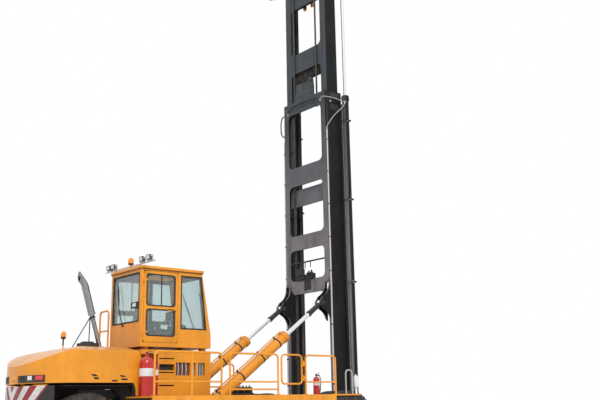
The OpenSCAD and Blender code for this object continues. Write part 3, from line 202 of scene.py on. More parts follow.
def weathered(s, color, dust=0.5, grime=0.5, chips=0.5):
    """A paint's colour with fading, dust on what faces up, streaks down its sides and chipped edges."""
    faded = s.mix(s.patch(0.8, 3, 0.35, 0.65), scaled(color, 0.88), scaled(color, 1.06))
    mottled = s.mix(s.patch(9.0, 5, 0.42, 0.75, 0.0, 0.35), faded, scaled(color, 0.72))
    settled = s.times(s.ramp(s.facing("Z"), 0.5, 1.0), s.patch(3.0, 5, 0.3, 0.7, 0.35, 1.0))
    dusty = s.mix(s.times(settled, dust), mottled, DUST)
    streaks = s.ramp(s.noise(5.0, 4, stretch=(1.0, 1.0, 0.09)), 0.5, 0.74)
    height = s.ramp(s.axis(s.place, "Z"), 1.6, 0.2, 0.3, 1.0)
    soiled = s.mix(s.times(s.times(streaks, height), grime), dusty, GRIME)
    worn = s.times(s.edge(), s.patch(22.0, 4, 0.55, 0.62))
    return s.mix(s.times(worn, chips), soiled, STEEL)


def paint(name, color, rough=0.42, coat=0.12, **weather):
    s = Shade(name)
    shown = weathered(s, color, **weather)
    gloss = s.patch(4.0, 5, 0.3, 0.75, rough, rough + 0.25)
    peel = s.bump(s.noise(260.0, 2), 0.04, 0.002, normal=s.round_edges())
    return s.finish(shown, gloss, normal=peel, Coat_Weight=coat, Coat_Roughness=0.12, Specular_IOR_Level=0.35)


def rubber(name):
    s = Shade(name)
    dusty = s.mix(s.patch(6.0, 6, 0.4, 0.72, 0.1, 0.7), (0.018, 0.018, 0.019), (0.11, 0.095, 0.08))
    scuff = s.mix(s.patch(60.0, 4, 0.5, 0.8, 0.0, 0.5), dusty, (0.05, 0.047, 0.045))
    normal = s.bump(s.noise(180.0, 4), 0.25, 0.003, normal=s.round_edges(0.01))
    return s.finish(scuff, s.patch(12.0, 3, 0.3, 0.7, 0.62, 0.85), normal=normal, Specular_IOR_Level=0.35)


def bare_metal(name, color, rough, brushed=(1.0, 1.0, 1.0), dirt=0.2):
    s = Shade(name)
    grain = s.noise(90.0, 4, stretch=brushed)
    stained = s.mix(s.patch(7.0, 5, 0.5, 0.8, 0.0, dirt), color, scaled(color, 0.35))
    return s.finish(stained, s.ramp(grain, 0.3, 0.7, rough, rough + 0.12), metallic=1.0,
                    normal=s.bump(grain, 0.05, 0.002, normal=s.round_edges(0.004)))


def glass(name):
    s = Shade(name)
    smear = s.patch(5.0, 5, 0.45, 0.8, 0.02, 0.12)
    return s.finish((0.72, 0.82, 0.82), smear, Transmission_Weight=0.9, IOR=1.3, Coat_Weight=0.5)


def plastic(name, color, rough=0.5, grain=0.12):
    s = Shade(name)
    dusty = tuple(0.6 * a + 0.4 * b for a, b in zip(color, DUST))
    shown = s.mix(s.patch(8.0, 5, 0.4, 0.8, 0.0, 0.4), color, dusty)
    return s.finish(shown, s.patch(6.0, 4, 0.3, 0.7, rough, rough + 0.15),
                    normal=s.bump(s.noise(220.0, 3), grain, 0.002, normal=s.round_edges(0.004)))


def cloth(name, color):
    s = Shade(name)
    weave = s.node("TexWave", {"Vector": s.place, "Scale": 160.0, "Distortion": 1.5, "Detail": 2.0})
    shown = s.mix(s.patch(20.0, 4, 0.3, 0.8), color, scaled(color, 1.9))
    return s.finish(shown, 0.92, normal=s.bump(weave, 0.3, 0.002), Sheen_Weight=0.3)


def mast_paint_with_painted_light():
    """Black paint with painted light: its rear faces are painted a lit grey, less so near the top."""
    s = Shade("mast_paint")
    # Painted light: faces turned to the rear get a lit grey, lighter low down and darker and bluer near the
    # top, while the other faces stay black.
    rear = s.ramp(s.facing("X"), -0.55, -0.9)
    grey = s.mix(s.ramp(s.axis(s.place, "Z"), 4.5, 9.3), (0.26, 0.24, 0.26), (0.075, 0.088, 0.1))
    base = s.mix(rear, (0.005, 0.0052, 0.006), grey)
    patchy = s.mix(s.patch(1.8, 5, 0.4, 0.75, 0.0, 0.3), base, (0.02, 0.02, 0.022))
    streaks = s.ramp(s.noise(6.0, 4, stretch=(1.0, 1.0, 0.07)), 0.52, 0.76, 0.0, 0.5)
    greasy = s.mix(streaks, patchy, (0.02, 0.018, 0.016))
    worn = s.times(s.edge(), s.patch(20.0, 4, 0.55, 0.65, 0.0, 0.6))
    shown = s.mix(worn, greasy, (0.2, 0.19, 0.18))
    peel = s.bump(s.noise(240.0, 2), 0.05, 0.002, normal=s.round_edges())
    return s.finish(shown, s.patch(4.0, 4, 0.3, 0.7, 0.45, 0.68), normal=peel, Specular_IOR_Level=0.2)


def hazard_paint():
    """Red and white bars that rise outwards from the middle, with painted shade, near black, over the panel's
    outer corners along the wheel arches.
    """
    s = Shade("hazard_paint")
    out = s.math("ABSOLUTE", s.axis(s.place, "Y"))
    rise = s.times(s.math("SUBTRACT", s.axis(s.place, "Z"), 1.68), 0.78)
    phase = s.math("FRACT", s.times(s.math("SUBTRACT", s.math("SUBTRACT", out, 0.63), rise), 2.857))
    bars = s.mix(s.math("LESS_THAN", phase, 0.51), (0.72, 0.7, 0.68), (0.3, 0.02, 0.03))
    grubby = s.mix(s.patch(5.0, 5, 0.45, 0.8, 0.0, 0.45), bars, (0.16, 0.13, 0.11))
    scratched = s.mix(s.patch(26.0, 4, 0.66, 0.7, 0.0, 0.7), grubby, (0.1, 0.08, 0.07))
    # Painted shade: beyond a curve that follows the wheel arch, wider low down, the panel is near black.
    high = s.times(s.math("SUBTRACT", s.axis(s.place, "Z"), 1.0), 1.5)
    arch_shade_edge = s.math("ADD", s.times(s.math("POWER", s.math("MAXIMUM", high, 0.0), 2.0), 0.32), 0.7)
    shown = s.mix(s.math("GREATER_THAN", out, arch_shade_edge), scratched, (0.02, 0.018, 0.017))
    return s.finish(shown, s.patch(6.0, 3, 0.3, 0.7, 0.35, 0.55),
                    normal=s.bump(s.noise(200.0, 2), 0.05, 0.002))


def chain_finish():
    """Greasy leaf chain: dark gaps between its links and bright edges."""
    s = Shade("chain_steel")
    links = s.node("TexWave", {"Vector": s.place, "Scale": 8.0, "Distortion": 0.0}, bands_direction="Z")
    leaves = s.node("TexWave", {"Vector": s.place, "Scale": 42.0, "Distortion": 0.0}, bands_direction="Y")
    depth = s.times(s.ramp(links, 0.1, 0.45), s.ramp(leaves, 0.05, 0.4))
    shown = s.mix(depth, (0.02, 0.018, 0.015), (0.24, 0.22, 0.19))
    return s.finish(shown, s.patch(30.0, 3, 0.3, 0.7, 0.3, 0.5), metallic=0.9,
                    normal=s.bump(depth, 0.9, 0.012))


def deck_finish():
    """Yellow deck paint over a tread pattern, worn and soiled where it is walked on."""
    s = Shade("deck_paint")
    up = s.ramp(s.facing("Z"), 0.7, 0.95)
    turned = s.node("Mapping", {"Vector": s.place, "Rotation": (0.0, 0.0, 0.785)})
    bricks = {"Vector": turned, "Scale": 18.0, "Mortar Size": 0.03, "Mortar Smooth": 0.3}
    lozenge = s.node("TexBrick", bricks, out="Fac")
    shown = weathered(s, YELLOW, dust=0.9, grime=0.6)
    trodden = s.mix(s.times(up, s.patch(2.2, 5, 0.42, 0.62, 0.0, 0.75)), shown, (0.16, 0.11, 0.06))
    normal = s.bump(s.times(lozenge, up), 0.5, 0.003, normal=s.round_edges())
    return s.finish(trodden, s.patch(5.0, 4, 0.3, 0.7, 0.42, 0.7), normal=normal, Coat_Weight=0.1)


def chassis_paint_with_painted_shade():
    """Yellow paint, painted near black round the steered wheels as the shade under the hood."""
    s = Shade("chassis_paint")
    shown = weathered(s, YELLOW, dust=0.6, grime=0.7)
    # Painted shade: near black behind about station -5.1, where the hood shades the chassis round the steered
    # wheels.
    back = s.ramp(s.axis(s.place, "X"), -1.75, -1.95)
    painted_under_hood_shade = s.mix(back, shown, (0.018, 0.015, 0.013))
    return s.finish(painted_under_hood_shade, s.patch(5.0, 4, 0.3, 0.7, 0.5, 0.75), normal=s.round_edges(),
                    Specular_IOR_Level=0.3)


finishes = {
    "hood_paint": paint("hood_paint", YELLOW, rough=0.32, coat=0.3, dust=0.22, grime=0.35, chips=0.2),
    "rail_paint": paint("rail_paint", scaled(YELLOW, 1.05), grime=0.4, chips=0.9),
    "rim_paint": paint("rim_paint", YELLOW, grime=0.8),
    "frame_black": paint("frame_black", (0.022, 0.022, 0.024), rough=0.5, coat=0.1, dust=0.35),
    "tyre_rubber": rubber("tyre_rubber"),
    "rod_chrome": bare_metal("rod_chrome", (0.82, 0.83, 0.85), 0.08, dirt=0.1),
    "lock_steel": bare_metal("lock_steel", (0.5, 0.47, 0.4), 0.3, dirt=0.5),
    "cab_paint": paint("cab_paint", YELLOW, rough=0.36, coat=0.2, dust=0.3, grime=0.4, chips=0.3),
    "window_glass": glass("window_glass"),
    "seat_fabric": cloth("seat_fabric", (0.03, 0.03, 0.033)),
    "light_metal": bare_metal("light_metal", (0.55, 0.56, 0.58), 0.35),
    "amber_lens": plastic("amber_lens", (0.95, 0.3, 0.01), 0.15, 0.0),
    "exhaust_steel": bare_metal("exhaust_steel", (0.36, 0.35, 0.35), 0.14, brushed=(1.0, 1.0, 0.2), dirt=0.6),
    "intake_plastic": plastic("intake_plastic", (0.02, 0.02, 0.021)),
    "extinguisher_red": paint("extinguisher_red", (0.55, 0.015, 0.012), rough=0.25, coat=0.6, chips=0.2),
    "engine_iron": paint("engine_iron", (0.08, 0.085, 0.09), rough=0.55, coat=0.0),
    "mast_paint": mast_paint_with_painted_light(),
    "chain_steel": chain_finish(),
    "yellow_paint": paint("yellow_paint", YELLOW, grime=0.6),
}
chassis_paint = chassis_paint_with_painted_shade()
deck_paint = deck_finish()
pale_lens = plastic("pale_lens", (0.75, 0.77, 0.78), 0.08, 0.02)
red_lens = plastic("red_lens", (0.75, 0.06, 0.05), 0.12, 0.05)
# Near black that paints shade into recesses and onto parts that lie in shadow.
painted_shade_black = plastic("painted_shade_black", (0.006, 0.006, 0.007), 0.8, 0.0)
brown_hose = plastic("brown_hose", (0.2, 0.06, 0.03), 0.5)
dark_hose = rubber("dark_hose")
pale_hose = plastic("pale_hose", (0.42, 0.4, 0.4), 0.45)
mauve_pipe = plastic("mauve_pipe", (0.62, 0.58, 0.61), 0.38, 0.03)
grey_pipe = plastic("grey_pipe", (0.03, 0.026, 0.027), 0.5, 0.03)
white_band = plastic("white_band", (0.78, 0.78, 0.8), 0.3, 0.0)


def dress(name, material):
    mesh = nodes[name].data
    mesh.materials.clear()
    mesh.materials.append(material)


def make_stage():
    """A pale floor, a white background and soft light from above, in front and behind the camera."""
    bpy.ops.mesh.primitive_plane_add(size=160.0, location=(0.0, 0.0, -0.002))
    floor = bpy.context.object
    floor.name = "floor"
    s = Shade("floor_pale")
    floor.data.materials.append(s.finish((0.78, 0.78, 0.77), s.patch(1.5, 4, 0.3, 0.7, 0.85, 0.9)))

    world = bpy.data.worlds.new("studio")
    bpy.context.scene.world = world
    world.use_nodes = True
    tree = world.node_tree
    tree.nodes.clear()
    path = tree.nodes.new("ShaderNodeLightPath")
    seen = path.outputs["Is Camera Ray"]
    for other in ("Is Glossy Ray", "Is Transmission Ray"):
        join = tree.nodes.new("ShaderNodeMath")
        join.operation = "MAXIMUM"
        tree.links.new(seen, join.inputs[0])
        tree.links.new(path.outputs[other], join.inputs[1])
        seen = join.outputs[0]
    mix = tree.nodes.new("ShaderNodeMixShader")
    tree.links.new(seen, mix.inputs[0])
    for socket, color, strength in ((1, (0.92, 0.96, 1.0, 1.0), 0.62), (2, (1.0, 1.0, 1.0, 1.0), 1.0)):
        light = tree.nodes.new("ShaderNodeBackground")
        light.inputs["Color"].default_value = color
        light.inputs["Strength"].default_value = strength
        tree.links.new(light.outputs[0], mix.inputs[socket])
    out = tree.nodes.new("ShaderNodeOutputWorld")
    tree.links.new(mix.outputs[0], out.inputs["Surface"])

    sun = bpy.data.lights.new("sun", "SUN")
    sun.energy = 1.9
    sun.angle = math.radians(18.0)
    sun.color = (1.0, 0.97, 0.92)
    lamp = bpy.data.objects.new("sun", sun)
    lamp.rotation_euler = Vector((0.35, 0.75, -0.72)).to_track_quat("-Z", "Y").to_euler()
    bpy.context.scene.collection.objects.link(lamp)


def at(station, y, z):
    """A point given by its station, its y and its height."""
    return Vector((MAST + station, y, z))


def turns(count, start=0.0):
    """Angles of evenly spaced places round a circle."""
    return [start + 2.0 * math.pi * i / count for i in range(count)]


def circle(centre, across, along, radius, angles):
    """Points of a circle whose plane has the unit vectors across and along."""
    return [centre + radius * (math.cos(t) * across + math.sin(t) * along) for t in angles]


def eased(points, steps=6):
    """A smooth path through a few points."""
    points = [Vector(point) for point in points]
    padded = [2 * points[0] - points[1]] + points + [2 * points[-1] - points[-2]]
    path = []
    for a, b, c, d in zip(padded, padded[1:], padded[2:], padded[3:]):
        for i in range(steps):
            t = i / steps
            path.append(0.5 * (2 * b + (c - a) * t + (2 * a - 5 * b + 4 * c - d) * t ** 2
                               + (3 * b - a - 3 * c + d) * t ** 3))
    path.append(points[-1])
    return path


def rounded(low, high, radius, steps=5):
    """A rectangle with round corners, as flat points in turn."""
    points = []
    for x, y, start in ((high[0] - radius, high[1] - radius, 0.0), (low[0] + radius, high[1] - radius, 90.0),
                        (low[0] + radius, low[1] + radius, 180.0),
                        (high[0] - radius, low[1] + radius, 270.0)):
        for i in range(steps + 1):
            turn = math.radians(start + 90.0 * i / steps)
            points.append((x + radius * math.cos(turn), y + radius * math.sin(turn)))
    return points


class Form:
    """A mesh gathered from simple closed forms."""

    def __init__(self):
        self.mesh = bmesh.new()

    def skin(self, rings, joined=False):
        """Faces between rings of points, each with the same count, and ends where they aren't joined."""
        made = [[self.mesh.verts.new(point) for point in ring] for ring in rings]
        pairs = list(zip(made, made[1:]))
        if joined:
            pairs.append((made[-1], made[0]))
        for first, second in pairs:
            for i, vert in enumerate(first):
                j = (i + 1) % len(first)
                self.mesh.faces.new((vert, first[j], second[j], second[i]))
        if not joined:
            self.mesh.faces.new(tuple(reversed(made[0])))
            self.mesh.faces.new(tuple(made[-1]))

    def span(self, stations, ys, zs):
        """A box between two stations, two values of y and two heights."""
        a, b = at(stations[0], min(ys), zs[0]), at(stations[1], max(ys), zs[1])
        corners = ((a.x, a.y), (b.x, a.y), (b.x, b.y), (a.x, b.y))
        self.skin([[Vector((x, y, z)) for x, y in corners] for z in (a.z, b.z)])

    def post(self, station, y, zs, half_s, half_y):
        """A box round an upright line."""
        self.span((station - half_s, station + half_s), (y - half_y, y + half_y), zs)

    def prism(self, outline, push):
        self.skin([outline, [point + push for point in outline]])

    def plate(self, outline, side, y, thick):
        """A sheet on one side of the machine, with its outline in stations and heights."""
        self.prism([at(s, side * y, z) for s, z in outline], side * thick * LEFT)

    def band(self, outer, inner, push):
        """A closed frame between two outlines with the same count of points."""
        self.skin([[a, b, b + push, a + push] for a, b in zip(outer, inner)], joined=True)

    def lathe(self, centre, axis, profile, sides=32, joined=False):
        """Turn a profile of (distance along the axis, radius) about an axis."""
        axis = Vector(axis).normalized()
        side = axis.orthogonal().normalized()
        other = axis.cross(side)
        self.skin([circle(Vector(centre) + along * axis, side, other, radius, turns(sides))
                   for along, radius in profile], joined=joined)

    def tube(self, points, radius, sides=10):
        points = [Vector(point) for point in points]
        ahead = [(b - a).normalized() for a, b in zip(points, points[1:])]
        ways = [ahead[0]] + [(a + b).normalized() for a, b in zip(ahead, ahead[1:])] + [ahead[-1]]
        side = ways[0].orthogonal().normalized()
        rings = []
        for point, way in zip(points, ways):
            side = (side - way * side.dot(way)).normalized()
            rings.append(circle(point, side, way.cross(side), radius, turns(sides)))
        self.skin(rings)

    def bent(self, points, radius, sides=10, steps=5, side=1.0):
        """A pipe eased through points given by station, y and z, or through their mirror images."""
        self.tube(eased([at(s, side * y, z) for s, y, z in points], steps), radius, sides)

    def bolts(self, points, axis, radius=0.012, height=0.01):
        profile = [(-0.002, 1.5 * radius), (0.15 * height, 1.5 * radius), (0.16 * height, radius),
                   (0.85 * height, radius), (height, 0.8 * radius)]
        for point in points:
            self.lathe(point, axis, profile, sides=6)


def piece(name, form, body="machine", slot="frame_black", material=None, smooth=35.0, bevel=0.0,
          replaces=()):
    """Make a form into an object that goes with a body, in its slot's finish or in another material."""
    bmesh.ops.recalc_face_normals(form.mesh, faces=form.mesh.faces[:])
    data = bpy.data.meshes.new(name)
    form.mesh.to_mesh(data)
    form.mesh.free()
    data.materials.append(material or finishes[slot])
    data.polygons.foreach_set("use_smooth", [True] * len(data.polygons))
    data.set_sharp_from_angle(angle=math.radians(smooth))
    made = bpy.data.objects.new(name, data)
    bpy.context.scene.collection.objects.link(made)
    if bevel:
        edges = made.modifiers.new("edges", "BEVEL")
        edges.width = bevel
        edges.segments = 2
        edges.limit_method = "ANGLE"
        edges.angle_limit = math.radians(40.0)
    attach(made, body)
    if replaces:
        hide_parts(*replaces)
    return made


def blocks(name, rows, mirrored=(), **look):
    """A piece of boxes, each given by stations, values of y and heights; mirrored ones are on both sides."""
    form = Form()
    for stations, ys, zs in rows:
        form.span(stations, ys, zs)
    for stations, ys, zs in mirrored:
        for side in BOTH:
            form.span(stations, [side * y for y in ys], zs)
    piece(name, form, **look)


def make_underside():
    """Gearbox, oil cooler and shaft between the frame's beams, and guards over the steered tyres."""
    form = Form()
    form.span((-6.685, -5.62), (-0.28, 0.28), (1.40, 1.598))
    form.span((-5.60, -5.20), (-0.28, 0.28), (0.86, 1.30))
    form.lathe(at(-5.2, 0.0, 1.02), AHEAD, [(0.0, 0.24), (0.06, 0.24), (0.08, 0.18),
                                            (0.3, 0.14), (0.34, 0.07)])
    piece("gearbox", form, slot="engine_iron", bevel=0.012)
    fins = [((-5.46, -5.06), (0.45, 0.458), (1.40 + 0.04 * i, 1.418 + 0.04 * i)) for i in range(8)]
    blocks("oil_cooler", [((-5.50, -5.02), (-0.45, 0.45), (1.352, 1.76))], fins, bevel=0.004)
    form = Form()
    form.tube([at(-4.9, 0.0, 1.0), at(-3.6, 0.0, 0.93), at(-1.3, 0.0, 0.79), at(-1.02, 0.0, 0.76)], 0.055, 18)
    for s, z in ((-4.86, 0.998), (-1.06, 0.765)):
        form.lathe(at(s, 0.0, z), (1.0, 0.0, -0.06),
                   [(-0.05, 0.06), (-0.045, 0.085), (-0.02, 0.085), (-0.015, 0.062),
                    (0.015, 0.062), (0.02, 0.085), (0.045, 0.085), (0.05, 0.06)], 24)
    piece("propeller_shaft", form)
    # Rubber guards over the steered tyres; their black also stands in for the shade under the hood.
    blocks("wheel_guards", (), [((-7.42, -6.22), (0.655, 1.24), (1.655, 1.663)),
                                ((-6.22, -5.80), (0.655, 1.24), (1.655, 1.663)),
                                ((-7.3, -5.75), (0.31, 0.33), (1.60, 1.72))], slot="tyre_rubber")


def make_lining():
    """Dark lining on the cab's inner faces."""
    form = Form()
    roof = [at(s, y, 4.166) for s, y in ((-5.418, -0.638), (-3.93, -0.638), (-3.93, 0.638), (-5.418, 0.638))]
    hole = [at(s, y, 4.166) for s, y in ((-4.92, -0.57), (-4.03, -0.57), (-4.03, 0.57), (-4.92, 0.57))]
    form.band(roof, hole, 0.012 * DOWN)
    wall = [at(-5.417, y, z) for y, z in ((-0.638, 2.56), (0.638, 2.56), (0.638, 4.15), (-0.638, 4.15))]
    pane = [at(-5.417, y, z) for y, z in ((-0.57, 3.08), (0.57, 3.08), (0.57, 4.10), (-0.57, 4.10))]
    form.band(wall, pane, 0.012 * AHEAD)
    for side in BOTH:
        y = side * 0.637
        outer = [at(s, y, z) for s, z in ((-4.50, 2.56), (-3.70, 2.56), (-3.93, 4.15), (-4.50, 4.15))]
        inner = [at(s, y, z) for s, z in ((-4.42, 2.94), (-3.80, 2.94), (-3.93, 4.10), (-4.42, 4.10))]
        form.band(outer, inner, -side * 0.01 * LEFT)
    form.span((-5.40, -3.72), (-0.62, 0.62), (CAB_FLOOR, 2.556))
    piece("cab_lining", form, slot="intake_plastic")
    for name, side in SIDES:
        ys = (side * 0.6385, side * 0.634)
        blocks("door_lining_" + name,
               [((-5.38, -4.55), ys, zs) for zs in ((2.62, 2.735), (3.325, 3.395), (4.105, 4.16))]
               + [((s, s + 0.045), ys, (2.62, 4.16)) for s in (-5.38, -4.595)],
               body="door_" + name, slot="intake_plastic")


PITCHES = 40
# One flank of a tyre: distance from its middle plane, and radius
FLANK = [(0.150, 0.3455), (0.166, 0.372), (0.190, 0.405), (0.204, 0.455), (0.209, 0.52), (0.2095, 0.556),
         (0.204, 0.562), (0.204, 0.572), (0.2085, 0.578), (0.207, 0.63), (0.199, 0.684), (0.194, 0.706),
         (0.184, 0.742), (0.166, 0.7555), (0.114, 0.7585), (0.112, 0.739), (0.088, 0.739), (0.086, 0.7595),
         (0.014, 0.76), (0.012, 0.739)]


def tyre(form, x, y):
    """A tyre with ribs along its middle and slanted lugs on its shoulders."""
    profile = [(-a, r) for a, r in FLANK] + list(reversed(FLANK))
    rings = []
    for pitch in range(PITCHES):
        for part, cut in ((0.0, False), (0.64, False), (0.68, True), (0.96, True)):
            ring = []
            for across, radius in profile:
                lug = cut and abs(across) > 0.1 and radius > 0.68
                r = radius - (0.021 if radius > 0.735 else 0.008) if lug else radius
                inward = across - math.copysign(0.007, across) if lug and radius < 0.745 else across
                turn = 2.0 * math.pi * (pitch + part + 3.2 * abs(across)) / PITCHES
                ring.append(Vector((x + r * math.cos(turn), y + inward, AXLE_Z + r * math.sin(turn))))
            rings.append(ring)
    form.skin(rings, joined=True)


def on_wheel(x, y, radius, angles):
    """Points round a wheel's axis."""
    return circle(Vector((x, y, AXLE_Z)), AHEAD, UP, radius, angles)


def make_wheels():
    """Treads, and on each wheel its nuts, its lock ring and its valve."""
    for name, side in SIDES:
        out = side * LEFT
        for end, x, ys, node in (("front_", DRIVE_X, (1.83, 1.33), "tyres_front_"),
                                 ("rear_", STEER_X, (1.09,), "tyre_rear_")):
            form = Form()
            for y in ys:
                tyre(form, x, side * y)
            piece("tread_" + end + name, form, "wheel_" + end + name, "tyre_rubber", replaces=[node + name])
        for end, x, face, nut_r, nuts, cap_y, lip in (("front_", DRIVE_X, 1.783, 0.21, 16, 1.879, 1.995),
                                                      ("rear_", STEER_X, 1.173, 0.18, 12, 1.269, 1.255)):
            body = "wheel_" + end + name
            form = Form()
            form.lathe((x, side * face, AXLE_Z), out, [(-0.002, nut_r - 0.03), (0.007, nut_r - 0.028),
                                                       (0.007, nut_r + 0.028), (-0.002, nut_r + 0.03)],
                       48, joined=True)
            form.bolts(on_wheel(x, side * (face + 0.006), nut_r, turns(nuts)), out, 0.019, 0.03)
            form.bolts(on_wheel(x, side * (cap_y - 0.001), 0.062, turns(6)), out, 0.008, 0.008)
            piece("nuts_" + end + name, form, body, "lock_steel", smooth=25.0)
            form = Form()
            form.lathe((x, side * lip, AXLE_Z), out,
                       [(-0.012, 0.352), (0.004, 0.35), (0.008, 0.362), (0.002, 0.374),
                        (-0.012, 0.373)], 64, joined=True)
            piece("lock_ring_" + end + name, form, body, "rim_paint")
            form = Form()
            valve = on_wheel(x, side * (face + 0.005), 0.295, [0.6])[0]
            tip = valve + 0.09 * out + Vector((0.012, 0.0, 0.008))
            form.tube([valve, valve + 0.05 * out, tip], 0.0065, 8)
            piece("valve_" + end + name, form, body, "chain_steel")


def on_bow(y, z, proud):
    """A point on the bowed rear, a little outside it."""
    r = BOW + proud
    return Vector((REAR_X + BOW - math.sqrt(r * r - y * y), y, z))


def bow_patch(name, ys, zs, inner, outer, steps, body, slot, material=None, bevel=0.003):
    """A sheet that follows the bowed rear."""
    form = Form()
    rings = []
    for i in range(steps + 1):
        y = ys[0] + (ys[1] - ys[0]) * i / steps
        rings.append([on_bow(y, zs[0], inner), on_bow(y, zs[1], inner),
                      on_bow(y, zs[1], outer), on_bow(y, zs[0], outer)])
    form.skin(rings)
    piece(name, form, body, slot, material, bevel=bevel)


def make_rear():
    """Striped panel and lamps on the bowed rear, marks on the hood's sides, its feet and the towing pin."""
    bow_patch("hazard_panel", (-1.125, 1.125), (0.95, 1.665), -0.001, 0.003, 40, "machine", "yellow_paint",
              hazard_paint(), bevel=0.0)
    lenses = (("white_", 0.56, 0.67, 0.019, 3, "light_metal", pale_lens),
              ("red_", 0.765, 0.915, 0.02, 4, "extinguisher_red", red_lens),
              ("dark_", 0.335, 0.45, 0.019, 4, "frame_black", None))
    for name, side in SIDES:
        for kind, near, far, proud, steps, slot, lens in lenses:
            bow_patch("lens_" + kind + name, (side * near, side * far), (1.775, 1.857), 0.011,
                      proud, steps, "hood", slot, lens)
    bow_patch("marker_lens", (-0.19, 0.05), (1.785, 1.875), -0.001, 0.014, 5, "hood", "amber_lens")
    marks = [[(-6.89, 1.875), (-6.79, 1.876), (-6.722, 1.839), (-6.832, 1.833)],
             [(-6.837, 1.813), (-6.732, 1.82), (-6.697, 1.779), (-6.797, 1.773)],
             [(-6.26, 1.86), (-6.156, 1.857), (-6.102, 1.821), (-6.213, 1.823)],
             [(-6.228, 1.795), (-6.074, 1.795), (-6.073, 1.759), (-6.2, 1.759)]]
    form = Form()
    for side in BOTH:
        for mark in marks:
            form.plate(mark, side, 1.2995, 0.0025)
    piece("side_marks", form, "hood")
    # The hood's front ends, down beside the wheel arches to just above the decks
    form = Form()
    foot = [(-5.945, 1.7125), (-5.905, 1.665), (-5.884, 1.61), (-5.872, 1.54),
            (-5.868, 1.447), (-5.672, 1.447), (-5.70, 1.502), (-5.70, 1.7125)]
    for side in BOTH:
        form.plate(foot, side, 1.2785, 0.021)
    piece("hood_feet", form, "hood", "hood_paint", bevel=0.003)
    form = Form()
    form.lathe(at(-7.85, 0.0, 0.6), UP, [(0.0, 0.024), (0.23, 0.024), (0.232, 0.04), (0.25, 0.04)], 24)
    form.bent([(-7.85, 0.0, 0.85), (-7.88, 0.0, 0.9), (-7.85, 0.0, 0.94), (-7.82, 0.0, 0.9),
               (-7.85, 0.0, 0.85)], 0.008, 8, 6)
    piece("tow_pin", form, slot="lock_steel")


def make_hood_trim():
    """Latches, the intake's louvres, the exhaust's clamps and bolts, and the stalk beacon's foot."""
    blocks("hood_latches", (), [((-6.42, -6.30), (1.292, 1.306), (1.735, 1.765)),
                                ((-6.39, -6.33), (1.30, 1.318), (1.742, 1.758))], body="hood", bevel=0.003)
    form = Form()
    for i in range(9):
        s = -6.505 + 0.034 * i
        for y in (-0.1615, 0.1595):
            form.span((s, s + 0.02), (y, y + 0.002), (2.525, 2.572))
    for i in range(7):
        y = -0.13 + 0.04 * i
        form.span((-6.533, -6.531), (y, y + 0.022), (2.51, 2.572))
    piece("intake_louvres", form, "hood", "intake_plastic")
    lean = math.radians(17.0)
    up = Vector((-math.sin(lean), 0.0, math.cos(lean)))
    form = Form()
    for along, r in ((0.13, 0.05), (0.66, 0.0495), (0.775, 0.0795), (1.36, 0.0795)):
        middle = at(-6.06, 0.0, 2.47) + along * up
        form.lathe(middle, up, [(-0.014, r - 0.002), (-0.013, r + 0.004), (0.013, r + 0.004),
                                (0.014, r - 0.002)], 40)
        form.lathe(middle + Vector((-0.02, -r - 0.012, 0.0)), AHEAD, [(0.0, 0.008), (0.04, 0.008)], 6)
    piece("exhaust_clamps", form, "hood", "exhaust_steel")
    form = Form()
    form.bolts(circle(at(-6.06, 0.0, 2.486), AHEAD, LEFT, 0.078, turns(6, 0.5)), UP, 0.009, 0.01)
    piece("exhaust_bolts", form, "hood", "lock_steel")
    form = Form()
    form.lathe(at(-6.96, -0.10, 2.668), UP, [(-0.03, 0.016), (-0.02, 0.042), (0.012, 0.056), (0.022, 0.056),
                                             (0.024, 0.05)])
    form.lathe(at(-6.96, -0.10, 2.508), UP, [(0.0, 0.0155), (0.13, 0.0155)], 16)
    piece("stalk_beacon_base", form, "hood")


def strip_round(form, outline, inset, grow, push, place):
    """A strip along an outline of flat points, which place turns into points of the cab."""
    middle = [sum(values) / len(outline) for values in zip(*outline)]

    def moved(by):
        return [place(*(value + math.copysign(1.0, value - centre) * by
                        for value, centre in zip(point, middle)))
                for point in outline]

    form.band(moved(grow), moved(-inset), push)


def seal(name, *strip):
    """A rubber seal of one strip, as a piece of the machine."""
    form = Form()
    strip_round(form, *strip)
    piece(name, form, slot="tyre_rubber")


def on_windscreen(station, y, z):
    """A point that keeps its distance from the leaning windscreen; its station is the one at z = 2.8."""
    lean = 0.25 / 1.42
    return at(station - lean * (z - 2.8), y, z)


